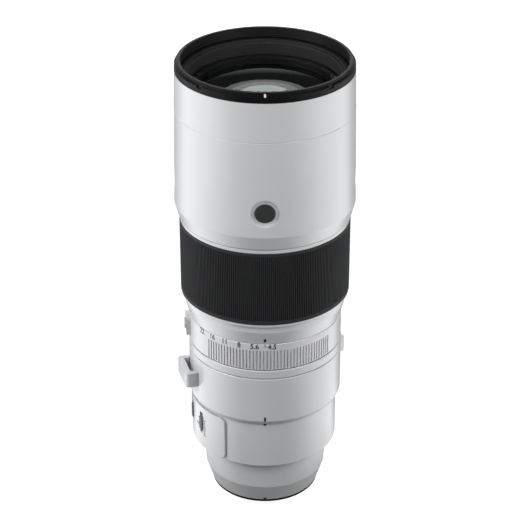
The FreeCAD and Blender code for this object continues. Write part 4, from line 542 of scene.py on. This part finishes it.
# %% Circuit board
TRACK_SPACING = 3.5
board = Finish("solder_mask")
tracks = board.node("ShaderNodeTexVoronoi", {"feature": "DISTANCE_TO_EDGE"},
                    {"Vector": board.place, "Scale": 1 / (TRACK_SPACING * mm)})
copper = 1.0 - board.ramp(tracks, 0.05, 0.10)
board.set("Base Color", board.blend(copper, (0.012, 0.075, 0.03), (0.03, 0.15, 0.06)))
board.set("Roughness", 0.30 + board.noise(2.0) * 0.15)
board.raised(copper, 0.02)
paint(board, "circuit_board")

# %% [markdown]
# The glass of a long lens looks dark, because the tube behind it swallows the light. What is seen of
# it is a soft greenish reflection of a lamp. A coating of thin films lets each inner face reflect only a
# part of what bare glass would, so the specular level of the inner elements is low. It tints what is
# left: green at the front, a little blue inside. A ray that meets a face from inside passes straight
# on, because bounces between the faces would only add noise. The ground rim is painted black.

# %% Coated glass
BLACK_RIM = 0.1


def coated(name, node, ior, tint, dark, light, **fixed):
    """Clear glass with a film of coating, and with its ground rim painted black."""
    finish = Finish(name, Transmission_Weight=1.0, IOR=ior, Specular_Tint=tint, **fixed)
    film = finish.noise(25.0, 1.0)
    finish.set("Base Color", finish.blend(film, dark, light))
    finish.set("Roughness", 0.01 + film * 0.02)
    from_inside = finish.node("ShaderNodeNewGeometry", output="Backfacing")
    finish.cover(from_inside, finish.node("ShaderNodeBsdfTransparent"))
    rim = finish.from_axis().above(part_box(node)[1][0] - BLACK_RIM * mm)
    finish.cover(rim, finish.node("ShaderNodeBsdfDiffuse", {}, {"Color": (0.01, 0.01, 0.011)}))
    paint(finish, node)


coated("coated_front_glass", "front_element", 1.45, (0.80, 1.0, 0.88, 1.0),
       (0.74, 0.84, 0.79), (0.80, 0.88, 0.84))
for node in ("second_element", "focus_element", "stabiliser_element", "rear_element"):
    coated("coated_" + node, node, 1.42, (0.85, 0.92, 1.0, 1.0),
           (0.78, 0.84, 0.82), (0.84, 0.88, 0.86), Specular_IOR_Level=0.12)

# %% [markdown]
# The marks on a lens are engraved by a machine and filled with enamel, one colour for each kind of
# mark. Enamel that is rubbed into a groove by hand dries a little uneven, so each colour is a blend of
# two that are close together.


# %% Fill paints of the marks
def fill_paint(name, dark, light, roughness):
    """Enamel rubbed into an engraving: even, with a faint mottle."""
    fill = Finish(name, Specular_IOR_Level=0.4)
    mottle = fill.noise(0.6, 3.0)
    fill.set("Base Color", fill.blend(mottle, dark, light))
    fill.set("Roughness", roughness + mottle * 0.12)
    fill.raised(mottle, 0.008)
    return fill


black_fill = fill_paint("black_fill", (0.012, 0.012, 0.013), (0.03, 0.03, 0.032), 0.5)
grey_fill = fill_paint("grey_fill", (0.022, 0.023, 0.025), (0.04, 0.042, 0.045), 0.5)
white_fill = fill_paint("white_fill", (0.72, 0.72, 0.70), (0.84, 0.84, 0.82), 0.45)
red_fill = fill_paint("red_fill", (0.22, 0.012, 0.012), (0.33, 0.02, 0.018), 0.4)
print("four fill paints")

# %% [markdown]
# A mark could be a picture on the paint, but then it would blur close up. Here it is a thin film that
# lies on the barrel. Its outline is drawn flat and in millimetres first: a bar, or the digits of
# Blender's own typeface, made a little bolder.

# %% Flat outlines of marks
BOLDER = 0.025


def bar(width, low, high, across=0.0):
    """A rectangle whose middle stands across from the mark's azimuth."""
    shape = bmesh.new()
    corners = [(across - width / 2, low), (across + width / 2, low),
               (across + width / 2, high), (across - width / 2, high)]
    shape.faces.new([shape.verts.new((x, y, 0)) for x, y in corners])
    return shape


def digits(words, size, middle):
    """Numbers, centred on a height."""
    letters = bpy.data.curves.new("digits", "FONT")
    letters.body = words
    letters.size = size
    letters.align_x = "CENTER"
    letters.align_y = "CENTER"
    letters.resolution_u = 3
    letters.offset = size * BOLDER
    holder = bpy.data.objects.new("digits", letters)
    flat = bpy.data.meshes.new_from_object(holder)
    shape = bmesh.new()
    shape.from_mesh(flat)
    bmesh.ops.translate(shape, verts=shape.verts, vec=(0, middle, 0))
    bpy.data.objects.remove(holder)
    bpy.data.meshes.remove(flat)
    return shape


print("bars and digits can be drawn")

# %% [markdown]
# A flat outline has no points in its middle, so it can't bend. It is cut into narrow strips in both
# directions, and every point of it is shot inwards from outside until it meets the barrel, then lifted
# by a hair. Without the cuts a wide triangle would dip under the curve of the barrel.

# %% Outlines laid on a barrel
STRIP = 0.4
HAIR = 0.03
SHOT_FROM = 5


def lay(film, shape, azimuth, node):
    """Bends a flat shape round the axis and lays it on a solid, as part of a film of marks."""
    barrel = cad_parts[node].data
    skin = BVHTree.FromPolygons([vertex.co for vertex in barrel.vertices],
                                [face.vertices for face in barrel.polygons])
    outer = max(math.hypot(vertex.co.x, vertex.co.y) for vertex in barrel.vertices) / mm
    for axis in (Vector((1, 0, 0)), Vector((0, 1, 0))):
        reach = [vertex.co.dot(axis) for vertex in shape.verts]
        cut = math.ceil(min(reach) / STRIP) * STRIP
        while cut < max(reach):
            bmesh.ops.bisect_plane(shape, geom=shape.verts[:] + shape.edges[:] + shape.faces[:],
                                   plane_co=cut * axis, plane_no=axis)
            cut += STRIP
    bmesh.ops.triangulate(shape, faces=shape.faces)
    for vertex in shape.verts:
        angle = azimuth + math.degrees(vertex.co.x / outer)
        start = spot(angle, outer + SHOT_FROM, vertex.co.y)
        hit = skin.ray_cast(start, spot(angle, -1, 0).normalized())[0]
        vertex.co = hit + spot(angle, HAIR, 0)
    part = bpy.data.meshes.new("part")
    shape.to_mesh(part)
    shape.free()
    film.from_mesh(part)
    bpy.data.meshes.remove(part)


def marked(name, film, fill, body):
    """Makes one piece of a film of marks and fixes it to the body that it turns with."""
    mesh = bpy.data.meshes.new(name)
    film.to_mesh(mesh)
    film.free()
    mesh.materials.append(fill.material)
    piece = bpy.data.objects.new(name, mesh)
    bpy.context.scene.collection.objects.link(piece)
    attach(piece, body)
    print(name, "rides on", body)


print("outlines can be laid on a barrel")

# %% [markdown]
# The aperture ring carries the stops as numbers, each one half the light of the last, and turning the
# ring brings one of them under the black line on the barrel above it. The numbers stand on the ring's
# smooth upper stretch, so they turn with it.

# %% Numbers of the aperture ring
DIGIT_SIZE = 4.4
DIGIT_DROP = 1.9
POINTER_LINE = 0.45
STOPS = ((5.3, "4.5"), (-7.6, "5.6"), (-19.3, "8"), (-31.0, "11"), (-42.5, "16"), (-53.9, "22"))
ring_top = top("aperture_ring")
stops = bmesh.new()
for azimuth, words in STOPS:
    lay(stops, digits(words, DIGIT_SIZE, ring_top - DIGIT_DROP), azimuth, "aperture_ring")
lay(stops, bar(POINTER_LINE, ring_top - 1.5, ring_top - 0.1), 0, "aperture_ring")
lay(stops, bar(1.3, ring_top - 1.7, ring_top - 1.7 + POINTER_LINE, 0.42), 0, "aperture_ring")
marked("aperture_numbers", stops, grey_fill, "aperture_ring")

# %% [markdown]
# An index line shows how far a ring is turned. The one on the shoulder picks a number of the aperture
# ring. The collar has one that turns with it, and it meets a line on the barrel when the camera is
# level over the foot. Lines that turn with different parts are separate pieces.

# %% Index lines of the barrel and the collar
SHOULDER_LINE = 1.5
COLLAR_LINE = 1.6
lines = bmesh.new()
switch_top = top("switch_barrel")
lay(lines, bar(SHOULDER_LINE, ring_top + 1.7, ring_top + 4.2), 0, "mid_barrel")
lay(lines, bar(COLLAR_LINE, switch_top - 1.7, switch_top - 0.45), 0, "switch_barrel")
marked("barrel_index_lines", lines, black_fill, "barrel")
collar_line = bmesh.new()
collar_low = bottom("collar_ring")
lay(collar_line, bar(COLLAR_LINE, collar_low + 2.5, collar_low + 5.4), 0, "collar_ring")
marked("collar_index_line", collar_line, black_fill, "collar")

# %% [markdown]
# At both ends of the lens a short line shows where the next thing goes on: a white one on the black
# ring for the hood, and a red one at the foot for the camera.

# %% Marks for the hood and the camera
hood_mark = bmesh.new()
lay(hood_mark, bar(1.1, lip - 2.3, lip - 0.6), 0, "front_ring")
marked("hood_mark", hood_mark, white_fill, "barrel")
mount_mark = bmesh.new()
foot_edge = bottom("rear_barrel")
lay(mount_mark, bar(2.0, foot_edge + 0.5, foot_edge + 2.0), 0, "rear_barrel")
marked("mount_mark", mount_mark, red_fill, "barrel")

# %% [markdown]
# Beside the first slider of the switch panel stands a short scale of ticks, so that the thumb can
# count its positions, and a longer line on the other side marks the middle. Every third tick is longer,
# as on a ruler, so a loop draws them all.

# %% Ticks of the switch panel
TICK_STEP = 1.7
TICK_HALF = 0.35
LONG_TICK = 2.3
SHORT_TICK = 1.6
SCALE_AZIMUTH = -55.0
LINE_LENGTH = 3.6
LINE_HALF = 0.42
LINE_AZIMUTH = -65.4
ticks = bmesh.new()
panel_middle = (bottom("switch_panel") + top("switch_panel")) / 2
for number in range(-3, 4):
    height = panel_middle + number * TICK_STEP
    length = LONG_TICK if number % 3 == 0 else SHORT_TICK
    lay(ticks, bar(length, height - TICK_HALF, height + TICK_HALF), SCALE_AZIMUTH, "switch_panel")
middle_line = bar(LINE_LENGTH, panel_middle - LINE_HALF, panel_middle + LINE_HALF)
lay(ticks, middle_line, LINE_AZIMUTH, "switch_panel")
marked("panel_ticks", ticks, black_fill, "barrel")

# %% [markdown]
# The studio is a pale floor under a white surround. A world of one even white would light the lens
# from all sides and leave it flat. So the light that fills the shadows is much weaker than what the
# camera sees, and rays that only mirror see a sky that is white near the horizon and dark overhead.

# %% World
world = bpy.data.worlds.new("studio")
bpy.context.scene.world = world
world.use_nodes = True
sky = Nodes(world.node_tree)
sky.tree.nodes.clear()
direction = sky.node("ShaderNodeTexCoord", output="Generated")
upward = sky.node("ShaderNodeSeparateXYZ", {}, {0: direction}, "Z")
mirror_sky = sky.blend(sky.ramp(upward, 0.16, 0.36), (1.0, 1.0, 1.0), (0.05, 0.05, 0.05))
ambient = sky.node("ShaderNodeBackground", {}, {"Color": (1.0, 1.0, 1.0), "Strength": 0.055})
mirrored = sky.node("ShaderNodeBackground", {}, {"Color": mirror_sky})
seen = sky.node("ShaderNodeBackground", {}, {"Color": (1.0, 1.0, 1.0)})
camera_ray = sky.node("ShaderNodeLightPath", output="Is Camera Ray")
unseen = sky.node("ShaderNodeMixShader", {}, {0: sky.background_rays(), 1: ambient, 2: mirrored})
surround = sky.node("ShaderNodeMixShader", {}, {0: camera_ray, 1: unseen, 2: seen})
sky.node("ShaderNodeOutputWorld", {}, {0: surround}, None)
print("white surround, dark overhead for what only mirrors")

# %% [markdown]
# Two soft boxes stand wide apart beside the camera and higher than the lens. The middle of every white
# barrel stays a shade darker than its sides, and each step throws a soft shadow on the one below. One
# lamp in the middle would do the opposite. A weak box behind keeps the back readable. Three round ones,
# high and behind, cover each other like rings of a target: their mirror image is the pale crescent in
# the front glass.


# %% Soft boxes
def soft_box(name, azimuth, distance, height, size, power, look_at=0.14, shape="RECTANGLE"):
    """A lamp with a wide face, in metres and watts, that is turned to the axis of the lens."""
    lamp = bpy.data.lights.new(name, "AREA")
    lamp.shape = shape
    lamp.size, lamp.size_y = size
    lamp.energy = power
    box = bpy.data.objects.new(name, lamp)
    bpy.context.scene.collection.objects.link(box)
    box.location = spot(azimuth, distance / mm, height / mm)
    facing = Vector((0, 0, look_at)) - box.location
    box.rotation_euler = facing.to_track_quat("-Z", "Y").to_euler()
    box.visible_camera = False
    print(name, "at", azimuth, "degrees,", power, "W")


soft_box("left_box", -68, 0.66, 0.50, (0.50, 0.50), 4.9)
soft_box("right_box", 54, 0.66, 0.50, (0.50, 0.50), 3.65)
soft_box("back_box", 180, 0.90, 0.25, (0.40, 0.50), 2.0)
TARGET_DISTANCE = 1.2
TARGET_HEIGHT = 1.139
GLASS_HEIGHT = 0.26
for nearness, width, power in ((0.0, 0.50, 0.66), (0.01, 0.41, 0.37), (0.02, 0.28, 0.45)):
    soft_box("rear_box", 180, TARGET_DISTANCE - nearness, TARGET_HEIGHT, (width, width), power,
             GLASS_HEIGHT, "ELLIPSE")

# %% [markdown]
# The floor is a wide pale disc at the height of the mount's lowest face. A small square would show its
# edges from the side. Seen directly the disc glows a little below white and the lamps add the rest, so
# only the contact shadow of the lens stays darker. Far out, where the lamps add nothing, its glow
# rises to full white, and no horizon shows.

# %% Floor
FLOOR_RADIUS = 8.0
FLOOR_GAP = 0.0002
floor_mesh = bpy.data.meshes.new("floor")
floor_build = bmesh.new()
bmesh.ops.create_circle(floor_build, cap_ends=True, radius=FLOOR_RADIUS, segments=96)
floor_build.to_mesh(floor_mesh)
floor_build.free()
floor = bpy.data.objects.new("floor", floor_mesh)
bpy.context.scene.collection.objects.link(floor)
floor.location.z = solid_box[0][2] - FLOOR_GAP
print("floor at", round(floor.location.z / mm, 2), "mm")

# %% [markdown]
# What the gloss of the paint mirrors is another matter. A photographer lays dark paper in front of a
# white thing and stands bright boards at both sides, so that every barrel gets two long highlights.
# Here the floor's own glow does that, told apart by the angle round the lens: 0 in front, 1 behind. The
# boards are dim close to the foot and behind the lens, so that its outline keeps a grey edge.

# %% Floor paper
paper = Finish("floor_paper", Roughness=0.9, Specular_IOR_Level=0.1, Emission_Strength=1.0)
fibre = paper.noise(2.0, 4.0)
sideways = ((paper.part("X") ** 2.0) ** 0.5).turn(paper.part("Y") * -1.0) / math.pi
beside = paper.ramp(sideways, 0.17, 0.40)
away = paper.ramp(paper.from_axis(), 0.045, 0.115)
behind = paper.ramp(sideways, 0.62, 0.74)
tone = paper.blend(beside, (0.08, 0.08, 0.08), (0.20, 0.20, 0.20))
paper.set("Base Color", paper.blend(fibre * 0.1, tone, (0.5, 0.5, 0.5)))
paper.raised(fibre, 0.02)
shiny_ray = paper.node("ShaderNodeLightPath", output="Is Glossy Ray")
boards = paper.blend(away, (0.25, 0.25, 0.25), (2.2, 2.2, 2.2))
boards_and_back = paper.blend(behind, boards, (0.18, 0.18, 0.18))
mirrored_paper = paper.blend(beside, (0.06, 0.06, 0.06), boards_and_back)
far = paper.ramp(paper.from_axis(), 0.25, 0.80)
backdrop = paper.blend(far, (0.945, 0.945, 0.945), (1.0, 1.0, 1.0))
glow = paper.blend(shiny_ray, backdrop, mirrored_paper)
paper.set("Emission Color", paper.blend(paper.background_rays(), (0.0, 0.0, 0.0), glow))
floor_mesh.materials.append(paper.material)
print("floor paper laid out")
